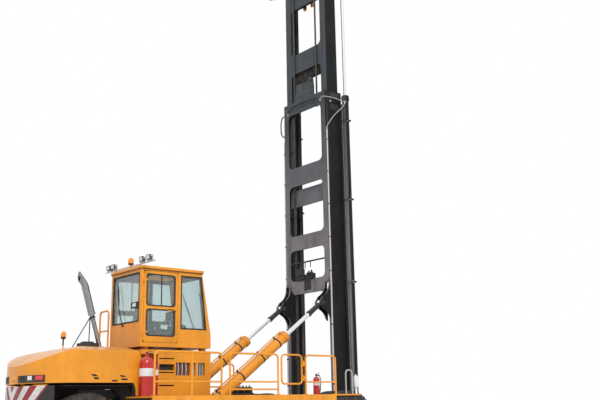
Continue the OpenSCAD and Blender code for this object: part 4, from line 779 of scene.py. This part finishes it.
def make_cab():
    """Seals, handles, wipers and lamps outside the cab, and its fittings inside."""
    for name, side in SIDES:
        form = Form()
        for low, high in ((2.74, 3.32), (3.40, 4.10)):
            strip_round(form, rounded((-5.33, low), (-4.60, high), 0.07), 0.018, 0.012, side * 0.021 * LEFT,
                        lambda s, z: at(s, side * 0.672, z))
        form.span((-4.955, -4.935), (side * 0.668, side * 0.684), (3.41, 4.09))
        piece("door_seals_" + name, form, "door_" + name, "tyre_rubber")
        form = Form()
        form.bent([(s, y, 3.325) for s, y in ((-4.78, 0.724), (-4.78, 0.745), (-4.72, 0.752), (-4.66, 0.745),
                                              (-4.66, 0.724))], 0.009, 8, 4, side)
        form.lathe(at(-4.595, side * 0.688, 3.30), side * LEFT,
                   [(0.0, 0.019), (0.008, 0.019), (0.01, 0.008)], 20)
        piece("door_handle_" + name, form, "door_" + name)
        seal("side_seal_" + name, [(-4.44, 2.92), (-3.76, 2.92), (-3.90, 4.12), (-4.44, 4.12)],
             0.02, 0.012, side * 0.019 * LEFT, lambda s, z: at(s, side * 0.674, z))
        form = Form()
        form.bent([(-3.83, 0.60, 3.0), (-3.80, 0.60, 3.06), (-3.88, 0.60, 3.7), (-3.93, 0.60, 3.76)],
                  0.014, 10, 6, side)
        piece("grab_bar_" + name, form)
    seal("rear_seal", rounded((-0.60, 3.05), (0.60, 4.13), 0.03), 0.022, 0.012, 0.019 * BACK,
         lambda y, z: at(-5.455, y, z))
    seal("roof_seal", rounded((-4.90, -0.55), (-4.05, 0.55), 0.03), 0.022, 0.012, 0.008 * UP,
         lambda s, y: at(s, y, 4.272))
    seal("front_seal", [(-0.61, 2.83), (0.61, 2.83), (0.61, 4.12), (-0.61, 4.12)], 0.02,
         0.014, 0.02 * BACK, lambda y, z: on_windscreen(-3.622, y, z))
    # Wipers: a motor's boss, an arm and a blade at the rear and at the front
    wide = 0.03 * LEFT
    for name, away, points in (
            ("rear", 0.02 * BACK, [at(-5.478, y, z)
                                   for y, z in ((0.086, 2.998), (0.245, 3.417), (0.325, 3.826))]),
            ("front", 0.02 * AHEAD,
             [on_windscreen(-3.598, y, z) for y, z in ((0.0, 2.87), (0.16, 3.30), (0.27, 3.72))])):
        boss, bend, end = points
        blade = (end - bend).normalized()
        low, high = end - 0.36 * blade, end + 0.24 * blade
        form = Form()
        form.lathe(boss, away, [(-0.03, 0.022), (0.012, 0.022), (0.022, 0.014)], 16)
        form.tube([boss + away, bend + 1.6 * away, end + away], 0.012, 8)
        form.skin([[low + 0.2 * away, low + 0.3 * away, low + 0.5 * away],
                   [end - wide + 0.2 * away, end + wide + 0.2 * away, end + 0.9 * away],
                   [high + 0.2 * away, high + 0.3 * away + 0.1 * wide, high + 0.5 * away]])
        piece("wiper_" + name, form)
    blocks("rear_lamp_shell", [((-5.50, -5.47), (-0.59, -0.29), (3.35, 3.48))], bevel=0.008)
    blocks("rear_lamp_lens", [((-5.506, -5.498), (-0.52, -0.37), (3.375, 3.455))], slot="light_metal",
           material=pale_lens, bevel=0.004)
    # Inside: shelf, side consoles, screen, levers, steering wheel and its column
    blocks("shelf", [((-5.40, -5.17), (-0.60, 0.60), (3.02, 3.06)),
                     ((-5.40, -5.21), (-0.55, 0.55), (2.56, 3.02))],
           slot="intake_plastic", bevel=0.01)
    blocks("consoles", [((-4.20, -4.02), (-0.12, 0.12), (3.05, 3.09)),
                        ((-4.09, -4.05), (0.34, 0.58), (3.22, 3.42)),
                        ((-4.08, -4.05), (0.44, 0.48), (2.60, 3.24))],
           [((-4.99, -4.47), (0.27, 0.39), (3.03, 3.09)), ((-4.86, -4.76), (0.30, 0.36), (2.62, 3.04))],
           slot="intake_plastic", bevel=0.012)
    form = Form()
    for y in (-0.36, -0.30, 0.31):
        form.tube([at(-4.56, y, 3.085), at(-4.55, y, 3.15)], 0.006, 8)
        form.lathe(at(-4.55, y, 3.14), (0.1, 0.0, 1.0),
                   [(0.0, 0.008), (0.012, 0.018), (0.035, 0.018), (0.045, 0.006)], 16)
    piece("levers", form)
    column = Vector((-0.5, 0.0, 0.87)).normalized()
    across = column.orthogonal().normalized()
    along = column.cross(across)
    hub = at(-4.30, 0.0, 3.20)
    form = Form()
    form.tube([at(-4.14, 0.0, 2.99), hub], 0.022, 12)
    form.lathe(hub, column, [(-0.012, 0.012), (-0.008, 0.038), (0.006, 0.038), (0.014, 0.02)], 20)
    form.skin([circle(point, (point - hub).normalized(), column, 0.013, turns(10))
               for point in circle(hub, across, along, 0.17, turns(40))], joined=True)
    for point in circle(hub, across, along, 0.165, turns(3, 0.5)):
        form.tube([hub, point], 0.009, 8)
    piece("steering_wheel", form)
    # Lamps on the roof's bar, with shells, lenses and yokes
    for i, y in enumerate((0.83, 0.61, -0.71, -1.02)):
        form = Form()
        outer, inner = [[at(-5.518, y + a, LAMP_Z + b)
                         for a, b in rounded((-wide, -high), (wide, high), radius, 3)]
                        for wide, high, radius in ((0.079, 0.056, 0.012), (0.07, 0.047, 0.01))]
        form.band(outer, inner, 0.03 * AHEAD)
        for middle in (y - 0.082, y + 0.082):
            form.span((-5.475, -5.452), (middle - 0.002, middle + 0.002), (4.33, 4.42))
        form.span((-5.475, -5.452), (y - 0.084, y + 0.084), (4.326, 4.331))
        piece("work_lamp_%d" % i, form)
        blocks("work_lens_%d" % i, [((-5.516, -5.511), (y - 0.069, y + 0.069), (4.362, 4.453))],
               slot="light_metal", material=pale_lens, bevel=0.002)
    form = Form()
    form.lathe(at(-5.46, -0.17, 4.352), UP, [(0.0, 0.05), (0.018, 0.066), (0.03, 0.066), (0.032, 0.062)])
    piece("roof_beacon_base", form)
    # Rain gutter round the roof
    form = Form()
    form.band([at(s, y, 4.205) for s, y in rounded((-5.50, -0.72), (-3.84, 0.72), 0.04)],
              [at(s, y, 4.205) for s, y in rounded((-5.49, -0.71), (-3.85, 0.71), 0.03)], 0.014 * UP)
    piece("roof_gutter", form)


def pad(name, half, lean, middle, seams):
    """A crowned cushion with sewn channels across its upper side."""
    form = Form()
    bmesh.ops.create_cube(form.mesh, size=2.0)
    bmesh.ops.subdivide_edges(form.mesh, edges=form.mesh.edges[:], cuts=26, use_grid_fill=True)
    for vert in form.mesh.verts:
        x, y, z = vert.co
        reach = 1.0 - 0.10 * abs(z) ** 3
        crown = (1.0 - abs(x) ** 4) * (1.0 - abs(y) ** 4)
        height = z * (0.62 + 0.38 * crown ** 0.5)
        if z > 0.0:
            for seam in seams:
                height -= 0.16 * math.exp(-((x - seam) / 0.045) ** 2) * min(1.0, 4.0 * (1.0 - abs(y)))
        vert.co = Vector((half[0] * x * math.sqrt(1.0 - 0.06 * y * y) * reach,
                          half[1] * y * math.sqrt(1.0 - 0.06 * x * x) * reach, half[2] * height))
    turn = Matrix.Rotation(math.radians(lean), 4, "Y")
    bmesh.ops.transform(form.mesh, matrix=Matrix.Translation(middle) @ turn, verts=form.mesh.verts)
    made = piece(name, form, "machine", "seat_fabric", smooth=70.0, replaces=["cab_seat"])


def make_seat():
    """The seat on its suspension, and the dashboard."""
    pad("seat_cushion", (0.25, 0.245, 0.06), 0.0, at(-4.75, 0.0, 2.90), (-0.35, 0.35))
    pad("seat_back", (0.34, 0.235, 0.06), -80.0, at(-5.10, 0.0, 3.27), (-0.4, 0.0, 0.4))
    form = Form()
    form.span((-4.95, -4.55), (-0.2, 0.2), (CAB_FLOOR, 2.60))
    for i in range(5):
        form.lathe(at(-4.75, 0.0, 2.61 + 0.042 * i), UP,
                   [(0.0, 0.15), (0.014, 0.175), (0.026, 0.175), (0.04, 0.15)])
    form.span((-4.97, -4.53), (-0.21, 0.21), (2.815, 2.84))
    for side in BOTH:
        form.span((-5.06, -4.90), (side * 0.25, side * 0.29), (2.82, 3.0))
    piece("seat_suspension", form, bevel=0.006, replaces=["cab_seat"])
    blocks("dashboard", [((-4.26, -3.99), (-0.2, 0.2), (CAB_FLOOR, 3.05))]
           + [((-4.268, -4.262), (y, y + 0.05), (2.92, 2.97)) for y in (-0.15, -0.07, 0.01, 0.09)],
           slot="intake_plastic", bevel=0.015, replaces=["cab_seat"])


def make_base():
    """What shows in the slots of the cab's base: recesses filled with painted shadow, pipes and hoses; and
    the base's bolts.
    """
    slots = [((-4.958, -4.572), (0.545, 0.60), zs)
             for zs in ((1.656, 1.684), (1.941, 1.964), (2.001, 2.129), (2.241, 2.264))]
    windows = [(stations, (0.525, 0.545), (1.892, 2.168))
               for stations in ((-4.528, -4.152), (-4.108, -4.012), (-3.958, -3.762))]
    # Painted shadow: near-black blocks fill the slots and windows of the base.
    blocks("base_shadow", (), slots + windows, material=painted_shade_black)
    pipes, hoses = Form(), Form()
    for side in BOTH:
        for i in range(7):
            s = -4.50 + 0.052 * i
            (pipes if i % 2 else hoses).tube([at(s, side * 0.60, 1.892), at(s + 0.004, side * 0.612, 2.03),
                                              at(s, side * 0.60, 2.168)], 0.018)
        for s, radius in ((-4.08, 0.014), (-4.035, 0.014), (-3.92, 0.017), (-3.86, 0.017), (-3.80, 0.017)):
            pipes.tube([at(s, side * 0.60, 1.892), at(s, side * 0.60, 2.168)], radius)
    piece("base_pipes", pipes, slot="light_metal")
    piece("base_hoses", hoses, slot="extinguisher_red", material=brown_hose)
    form = Form()
    for side in BOTH:
        for s in (-4.965, -4.53, -3.61):
            form.bolts([at(s, side * 0.66, z) for z in (1.50, 1.80, 2.10, 2.36)], side * LEFT, 0.009, 0.008)
    piece("base_bolts", form, slot="lock_steel")


def along_tilt(t, side, up=0.0, out=0.0):
    """A point on a tilt cylinder: t metres from its lower pin, then up across it and out from it."""
    run = Vector((TILT_EYE[0] - TILT_LOW[0], TILT_EYE[1] - TILT_LOW[1])).normalized()
    s = TILT_LOW[0] + t * run.x - up * run.y
    return at(s, side * (TILT_Y + out), TILT_LOW[1] + t * run.y + up * run.x)


def make_tilt():
    """On each tilt cylinder a pipe, straps, the gland, the rod's clevis and the caps of its pin."""
    pipe = ((0.26, 0.10), (0.27, 0.152), (0.36, 0.168), (1.6, 0.168), (2.84, 0.168),
            (2.95, 0.16), (2.97, 0.12))
    for name, side in SIDES:
        way = along_tilt(1.0, side) - along_tilt(0.0, side)
        form = Form()
        form.tube(eased([along_tilt(t, side, up) for t, up in pipe]), 0.017, 12)
        piece("tilt_pipe_" + name, form, "tilt_barrel_" + name, "yellow_paint")
        form = Form()
        for t in (0.62, 1.36, 2.10, 2.72):
            form.lathe(along_tilt(t, side), way, [(-0.02, 0.124), (-0.018, 0.13), (0.018, 0.13),
                                                  (0.02, 0.124)], 40,
                       joined=True)
            form.tube([along_tilt(t, side, 0.126), along_tilt(t, side, 0.19)], 0.024, 12)
        form.lathe(along_tilt(3.05, side), way, [(-0.002, 0.06), (-0.001, 0.112), (0.016, 0.11),
                                                 (0.022, 0.06)], 40)
        form.bolts([along_tilt(3.05, side, 0.122 * math.cos(a), 0.122 * math.sin(a)) for a in turns(8, 0.2)],
                   way, 0.009, 0.012)
        piece("tilt_straps_" + name, form, "tilt_barrel_" + name)
        form = Form()
        form.lathe(along_tilt(4.0, side), way, [(0.0, 0.0525), (0.004, 0.074), (0.05, 0.076), (0.07, 0.066),
                                                (0.452, 0.064), (0.454, 0.056)], 40)
        piece("tilt_clevis_" + name, form, "tilt_rod_" + name)
        form = Form()
        for face in BOTH:
            eye = at(TILT_EYE[0], side * TILT_Y + face * 0.108, TILT_EYE[1])
            form.lathe(eye, face * LEFT, [(-0.006, 0.07), (0.004, 0.07), (0.008, 0.062)])
            form.bolts(circle(eye + face * 0.006 * LEFT, AHEAD, UP, 0.045, (0.4, 1.97, 3.54, 5.11)),
                       face * LEFT, 0.008, 0.008)
        piece("tilt_pin_caps_" + name, form, "mast")


def hose(name, radius, material, slot, points):
    """A free hose on the mast between two fittings, with a ferrule on each end."""
    path = eased([at(*point) for point in points], 8)
    form = Form()
    form.tube(path, radius)
    made = piece(name, form, "mast", slot, material)
    ends = Form()
    for a, b in ((path[0], path[1]), (path[-1], path[-2])):
        way = (b - a).normalized()
        ends.lathe(a - 0.02 * way, way,
                   [(0.0, 1.25 * radius), (0.05, 1.3 * radius), (0.055, 1.05 * radius)], 12)
        ends.lathe(a - 0.045 * way, way, [(0.0, 1.5 * radius), (0.028, 1.5 * radius)], 6)
    fitted = piece(name + "_fittings", ends, "mast", "lock_steel")


def make_mast():
    """Bands and glands of the lift cylinders; pipes, valves, bolts, covers and hoses of the outer mast."""
    form = Form()
    for side in BOTH:
        for z in (4.33, 6.575, 8.82):
            form.lathe(at(LIFT_S, side * LIFT_Y, z), UP,
                       [(-0.03, 0.0915), (-0.028, 0.101), (0.026, 0.101), (0.028, 0.0915)], 40, joined=True)
    piece("lift_bands", form, "mast", "light_metal")
    form = Form()
    for side in BOTH:
        form.lathe(at(LIFT_S, side * LIFT_Y, 9.53), UP,
                   [(-0.005, 0.056), (0.0, 0.1), (0.02, 0.098), (0.026, 0.056)], 40)
        form.bolts(circle(at(LIFT_S, side * LIFT_Y, 9.548), AHEAD, LEFT, 0.085, turns(8)), UP, 0.009, 0.012)
    piece("lift_glands", form, "mast")
    # Pale pipe down each rail's rear outer edge, on clamps
    form, clamps = Form(), Form()
    for side in BOTH:
        form.bent([(0.012, 0.905, 8.46), (-0.022, 0.912, 8.41), (-0.022, 0.915, 8.3), (-0.022, 0.915, 5.0),
                   (-0.022, 0.915, 1.6), (-0.022, 0.915, 1.5), (0.02, 0.915, 1.45)], 0.0205, 12, 4, side)
        for z in (8.2, 7.3, 6.4, 5.5, 4.6, 3.2, 2.4, 1.7):
            clamps.span((-0.045, 0.004), (side * 0.894, side * RAIL_Y), (z - 0.018, z + 0.018))
    piece("mast_pipes", form, "mast", "light_metal", mauve_pipe)
    piece("mast_pipe_clamps", clamps, "mast", bevel=0.003)
    # Cross pipe with its valves in the plate's lowest opening, clear of the inner mast's way
    form = Form()
    form.tube([at(-0.014, 0.752, 4.97), at(-0.014, -0.752, 4.97)], 0.022, 14)
    for y in (0.33, 0.12, -0.1):
        form.tube([at(-0.014, y, 4.97), at(-0.014, y, 4.80)], 0.012, 8)
    piece("cross_pipe", form, "mast")
    form = Form()
    form.span((-0.045, 0.008), (-0.28, 0.40), (4.46, 4.62))
    form.span((-0.045, 0.004), (-0.14, 0.14), (4.19, 4.47))
    form.span((-0.085, -0.03), (0.12, 0.36), (4.50, 4.78))
    form.span((-0.08, -0.03), (-0.24, -0.02), (4.50, 4.64))
    for y, z in ((0.2, 4.82), (0.3, 4.8), (-0.05, 4.66), (-0.16, 4.67)):
        form.lathe(at(-0.035, y, z), DOWN, [(-0.05, 0.022), (-0.01, 0.022), (0.0, 0.034), (0.05, 0.034)], 20)
    for y in (0.27, 0.17, -0.08, -0.18):
        form.lathe(at(-0.08, y, 4.62), BACK, [(0.0, 0.035), (0.03, 0.035), (0.035, 0.024), (0.06, 0.024)], 20)
    piece("mast_valves", form, "mast", bevel=0.005)
    # Channels for hoses along the rails' front edges, with their brackets
    brackets = [((0.44, 0.456), (RAIL_Y, 0.972), (0.7 + 0.74 * i, 0.75 + 0.74 * i)) for i in range(12)]
    blocks("hose_channels", (), [((0.455, 0.494), (RAIL_Y, 1.002), (0.50, 9.30))] + brackets,
           body="mast", bevel=0.003)
    # Bolts of the plate's members, and covers near the rails' upper ends
    form = Form()
    for low, high in ((4.11, 4.48), (5.32, 5.73), (7.15, 7.69), (9.29, 9.65)):
        form.bolts([at(-0.041, y, z) for z in (low + 0.07, high - 0.07)
                    for y in (-0.845, -0.745, 0.745, 0.845)], BACK,
                   0.011, 0.01)
    piece("plate_bolts", form, "mast", "mast_paint")
    form = Form()
    for side in BOTH:
        for z in (9.44, 9.1):
            form.span((0.08, 0.44), (side * 0.9345, side * 0.9405), (z, z + 0.16))
            form.bolts([at(s, side * 0.94, z + 0.08) for s in (0.12, 0.26, 0.40)], side * LEFT, 0.012, 0.01)
    piece("slide_covers", form, "mast")
    hose("top_hose", 0.017, dark_hose, "tyre_rubber",
         [(-0.045, 0.70, 9.36), (-0.075, 0.64, 9.44), (-0.085, 0.38, 9.52), (-0.085, -0.05, 9.53),
          (-0.085, -0.45, 9.50), (-0.075, -0.62, 9.46), (-0.045, -0.70, 9.40)])
    hose("lift_hose", 0.0125, pale_hose, "light_metal",
         [(-0.05, -0.74, 9.43), (-0.10, -0.80, 9.44), (-0.11, -0.97, 9.41), (0.1, -1.12, 9.36),
          (0.38, -1.155, 9.32), (0.50, -1.13, 9.36)])
    hose("drop_hose", 0.0125, pale_hose, "light_metal",
         [(0.46, -1.15, 9.29), (0.36, -1.15, 9.14), (0.15, -1.05, 8.9), (0.02, -0.99, 8.7),
          (-0.04, -0.945, 8.56), (-0.02, -0.915, 8.44)])
    hose("side_hose", 0.018, dark_hose, "tyre_rubber",
         [(0.03, 0.95, 9.38), (-0.02, 0.985, 9.36), (-0.07, 1.0, 9.2), (-0.08, 0.995, 8.95),
          (-0.055, 0.985, 8.8), (0.02, 0.955, 8.74)])
    form = Form()
    for s, y, z in ((0.1, -0.945, 9.33), (0.05, 0.945, 9.38), (0.04, 0.945, 8.74)):
        form.post(s, y, (z - 0.03, z + 0.03), 0.03, 0.012)
    piece("hose_blocks", form, "mast", "lock_steel", bevel=0.004)
    # Pipes for the spreader, inside the left rail's edge
    form = Form()
    for y in (0.60, 0.565, 0.53):
        form.tube([at(0.04, y, 0.9), at(0.04, y, 9.24)], 0.0125, 8)
    piece("inner_pipes", form, "mast", "light_metal", grey_pipe)
    blocks("inner_clamps", [((0.024, 0.058), (0.51, 0.70), (z, z + 0.03))
                            for z in (1.4, 2.4, 3.4, 5.0, 6.3, 8.2)],
           body="mast", bevel=0.003)


def make_upper():
    """The outer mast's head bracket, and fittings of the inner mast, the carriage and the spreader."""
    # Bracket with a lug on the outer mast's head, and the inner mast's brace in front of it, painted near
    # black as shade
    form = Form()
    outline = [(0.40, 9.645), (0.36, 9.87), (0.33, 10.15), (-0.17, 10.12), (-0.175, 10.20), (-0.22, 10.235),
               (-0.368, 10.214), (-0.40, 10.1), (-0.42, 9.87), (-0.42, 9.645)]
    form.prism([at(-0.034, y, z) for y, z in outline], 0.028 * AHEAD)
    form.bolts([at(-0.034, y, z) for y, z in ((0.28, 9.95), (0.2, 9.78), (-0.34, 9.9),
                                              (-0.3, 9.76), (-0.05, 9.8))],
               BACK, 0.022, 0.016)
    form.lathe(at(-0.034, -0.29, 10.13), BACK, [(-0.01, 0.045), (0.02, 0.045), (0.024, 0.03)], 20)
    piece("head_bracket", form, "mast", "mast_paint", bevel=0.004)
    blocks("inner_brace", [((0.112, 0.255), (-0.774, 0.774), (10.33, 10.66)),
                           ((0.112, 0.255), (-0.05, 0.774), (10.08, 10.335))],
           body="inner_mast", material=painted_shade_black, bevel=0.004)
    form = Form()
    for side in BOTH:
        form.lathe(at(0.158, side * 0.48, 15.47), side * LEFT, [(-0.052, 0.03), (0.052, 0.03)], 20)
        form.bolts([at(0.158, side * 0.512, 15.47)], side * LEFT, 0.016, 0.014)
        form.bolts([at(0.2, side * y, TOP_Z) for y in (0.3, 0.55)], UP, 0.016, 0.01)
    piece("crosshead_fittings", form, "inner_mast", "lock_steel")
    form = Form()
    for side in BOTH:
        form.bolts(circle(at(LIFT_S, side * LIFT_Y, TOP_Z), AHEAD, LEFT, 0.06, (0.78, 2.36, 3.93, 5.5)), UP,
                   0.012, 0.01)
    piece("ear_bolts", form, "inner_mast", "mast_paint")
    blocks("leg_pads", (), [((1.2045, 1.2055), (1.07, 1.23), (13.61, 13.85)),
                            ((1.195, 1.2045), (1.065, 1.235), (13.605, 13.855))], body="spreader",
           slot="tyre_rubber")
    form = Form()
    for side in BOTH:
        for z in (14.48, 14.80):
            form.lathe(at(0.995, side * 2.60, z), side * LEFT,
                       [(-0.03, 0.02), (0.002, 0.02), (0.002, 0.012)], 12)
        form.bolts([at(s, side * y, 14.9595) for y in (2.2, 1.5, 0.3) for s in (0.87, 1.12)],
                   UP, 0.014, 0.012)
    form.lathe(at(0.84, 0.0, 14.64), BACK, [(-0.01, 0.09), (0.012, 0.09), (0.02, 0.06)], 24)
    piece("spreader_fittings", form, "spreader", "lock_steel")
    blocks("spreader_lamps", (), [((0.86, 0.96), (1.91, 2.09), (14.255, 14.32)),
                                  ((0.88, 0.94), (1.88, 1.92), (14.30, 14.3205))],
           body="spreader", bevel=0.008)
    blocks("spreader_lenses", (), [((0.87, 0.95), (1.925, 2.075), (14.25, 14.256))], body="spreader",
           slot="light_metal", material=pale_lens)
    blocks("spreader_valves", [((0.84, 1.14), (-0.30, 0.30), (14.9585, 15.06)),
                               ((0.88, 1.08), (-0.22, 0.22), (15.06, 15.085))], body="spreader", bevel=0.01)
    form = Form()
    for i in range(4):
        y = -0.21 + 0.14 * i
        form.bent([(1.0, y, 15.08), (1.0, y, 15.12), (1.02, 1.2 * y, 15.14), (1.08, 1.5 * y, 15.10),
                   (1.1, 1.7 * y, 15.0), (1.1, 1.8 * y, 14.957)], 0.011, 8)
    piece("spreader_pipes", form, "spreader")
    for name, side in SIDES:
        form = Form()
        form.bolts([at(s, side * 3.0205, z) for z in (14.36, 14.9) for s in (0.92, 1.02)],
                   side * LEFT, 0.014, 0.012)
        piece("arm_bolts_" + name, form, "arm_" + name, "lock_steel")
        blocks("arm_pad_" + name, [((1.2045, 1.206), (side * 2.84, side * 3.01), (14.33, 14.43))],
               body="arm_" + name, slot="tyre_rubber")
    form = Form()
    for side in BOTH:
        form.bolts([at(s, side * 0.699, z) for z in (13.29, 14.23) for s in (0.3, 0.5)],
                   -side * LEFT, 0.012, 0.012)
        form.bolts([at(0.288, side * y, 13.3395) for y in (0.43, 0.53)], UP, 0.014, 0.02)
    piece("carriage_fittings", form, "carriage", "lock_steel")
    form = Form()
    form.bent([(0.30, 0.2, 13.34), (0.30, 0.2, 13.6), (0.45, 0.2, 13.9), (0.6, 0.15, 14.1), (0.68, 0.1, 14.4),
               (0.69, 0.1, 14.95)], 0.02)
    form.bent([(0.34, 0.26, 13.34), (0.34, 0.26, 13.6), (0.49, 0.26, 13.9), (0.62, 0.21, 14.1),
               (0.69, 0.16, 14.4), (0.70, 0.16, 14.95)], 0.02)
    piece("carriage_pipes", form, "carriage")


def make_decks():
    """What stands on the decks and hangs under them, and details of the valve block and the engine."""
    feet, bolts = Form(), Form()
    for side in BOTH:
        for s in (-5.89, -4.27, -5.01, -4.05, -2.74, -1.93, -1.01):
            feet.post(s, side * 2.05, (1.4303, 1.44), 0.05, 0.036)
            bolts.bolts([at(s + a, side * 2.03, 1.44) for a in (-0.036, 0.036)], UP, 0.008, 0.008)
    piece("rail_feet", feet, slot="rail_paint")
    piece("rail_foot_bolts", bolts, slot="lock_steel")
    stations = [-2.59 + 0.05 * i for i in range(11)]
    blocks("step_grips", (), [((s, s + 0.014), (1.86, 2.06), (z - 0.001, z + 0.006))
                              for z in (1.14, 0.85, 0.56) for s in stations], slot="lock_steel")
    stations = [-4.02 + 0.052 * i for i in range(24)]
    blocks("deck_grips", (), [((s, s + 0.03), (1.25, 1.95), (1.4295, 1.4325)) for s in stations])
    # Tank straps, caps and drain plugs
    form = Form()
    for side in BOTH:
        for s in (-4.45, -3.55):
            form.span((s - 0.03, s + 0.03), (side * 2.028, side * 2.036), (0.70, 1.18))
            form.span((s - 0.03, s + 0.03), (side * 1.05, side * 2.02), (0.634, 0.641))
            form.bolts([at(s, side * 2.035, z) for z in (0.74, 1.14)], side * LEFT, 0.011, 0.01)
    piece("tank_straps", form, bevel=0.002)
    form = Form()
    for side in BOTH:
        form.lathe(at(-4.7, side * 2.028, 1.05), side * LEFT,
                   [(0.0, 0.05), (0.012, 0.05), (0.013, 0.042), (0.035, 0.042), (0.038, 0.03)], 24)
        form.bolts([at(-4.0, side * 1.5, 0.641)], DOWN, 0.018, 0.015)
    piece("tank_caps", form)
    # Extinguishers' bands, valves and hoses, and the small extinguisher
    form = Form()
    for s, y, low, high, inner, outer, sides in ((-5.74, -1.48, 0.40, 0.56, 0.1505, 0.1525, 48),
                                                 (-0.93, -1.28, 0.22, 0.31, 0.0802, 0.082, 40),
                                                 (-5.528, -1.48, 0.42, 0.54, 0.0555, 0.057, 32)):
        form.lathe(at(s, y, DECK_Z), UP, [(low, inner), (low, outer), (high, outer), (high, inner)],
                   sides, joined=True)
    piece("extinguisher_bands", form, slot="light_metal", material=white_band)
    form = Form()
    form.lathe(at(-5.528, -1.48, 1.4305), UP, [(0.0, 0.05), (0.01, 0.0555), (0.68, 0.0555),
                                               (0.72, 0.05), (0.75, 0.03), (0.76, 0.018), (0.80, 0.018)])
    piece("small_extinguisher", form, slot="extinguisher_red")
    form = Form()
    for s, y, r, top, end in ((-5.74, -1.48, 0.15, 2.27, 1.82), (-0.93, -1.28, 0.08, 1.87, 1.499295)):
        form.lathe(at(s, y, top), UP, [(0.0, 0.024), (0.05, 0.024), (0.055, 0.012)], 20)
        form.tube([at(s - 0.02, y, top + 0.04), at(s + 0.10, y, top + 0.075)], 0.008, 8)
        form.tube([at(s - 0.02, y, top + 0.02), at(s + 0.10, y, top + 0.035)], 0.007, 8)
        form.bent([(s + 0.02, y - 0.02, top + 0.02), (s + 0.9 * r, y - 0.5 * r, top),
                   (s + r + 0.03, y - 0.45 * r, top - 0.15), (s + r + 0.014, y - 0.3 * r, end)], 0.011, 8, 6)
    piece("extinguisher_valves", form)
    # An inverted U pipe, the bar at its foot and a canister, at the front on the right
    form = Form()
    form.bent([(s, -2.06, z) for s, z in ((-0.68, 1.40), (-0.68, 1.85), (-0.665, 1.95),
                                          (-0.62, 1.985), (-0.53, 1.985),
                                          (-0.485, 1.95), (-0.47, 1.85), (-0.47, 1.40))], 0.019, 10, 4)
    piece("front_pipe", form, slot="light_metal", material=pale_hose)
    blocks("front_bar", [((-0.97, -0.23), (-2.09, -2.05), (1.40, DECK_Z))], slot="rail_paint", bevel=0.003)
    form = Form()
    form.lathe(at(-0.35, -2.06, DECK_Z), UP, [(0.0, 0.03), (0.16, 0.03), (0.165, 0.052),
                                              (0.18, 0.055), (0.40, 0.055),
                                              (0.425, 0.04), (0.43, 0.02), (0.46, 0.02)], 28)
    piece("front_canister", form, slot="light_metal", material=white_band)
    # Valve block's pipes and caps
    form = Form()
    for i in range(8):
        y = -0.22 + 0.063 * i
        form.bent([(s, y, z) for s, z in ((-2.12, 1.46), (-2.0, 1.46), (-1.9, 1.44),
                                          (-1.6, 1.36), (-1.3, 1.345), (-0.40, 1.345))], 0.015, 8)
        form.bent([(s, y, z) for s, z in ((-2.88, 1.46), (-3.0, 1.46), (-3.1, 1.42),
                                          (-3.3, 1.34), (-3.5, 1.335))],
                  0.015, 8)
    piece("valve_pipes", form)
    form = Form()
    for s in (-2.755, -2.555, -2.355, -2.155):
        for y in (-0.2, -0.07, 0.06, 0.19):
            form.lathe(at(s, y, 1.64), UP, [(-0.01, 0.03), (0.02, 0.03), (0.024, 0.022), (0.045, 0.022)], 16)
    piece("valve_caps", form, slot="lock_steel")
    # Engine's top cover and the round covers on its sides
    form = Form()
    form.span((-7.36, -6.32), (-0.28, 0.28), (2.205, 2.225))
    for s in (-7.2, -6.95, -6.7, -6.45):
        for side in BOTH:
            form.lathe(at(s, side * 0.335, 2.02), side * LEFT,
                       [(-0.01, 0.05), (0.03, 0.05), (0.036, 0.03)], 20)
    piece("engine_details", form, slot="engine_iron", bevel=0.01)


make_camera()
make_stage()
for name, slot in slot_of.items():
    dress(name, finishes[slot])
for name in ("platform_left", "platform_right", "balcony_left"):
    dress(name, deck_paint)
dress("chassis", chassis_paint)
for make in (make_underside, make_lining, make_wheels, make_rear, make_hood_trim, make_cab,
             make_seat, make_base, make_tilt, make_mast, make_upper, make_decks):
    make()

bpy.context.scene.view_settings.view_transform = "Standard"
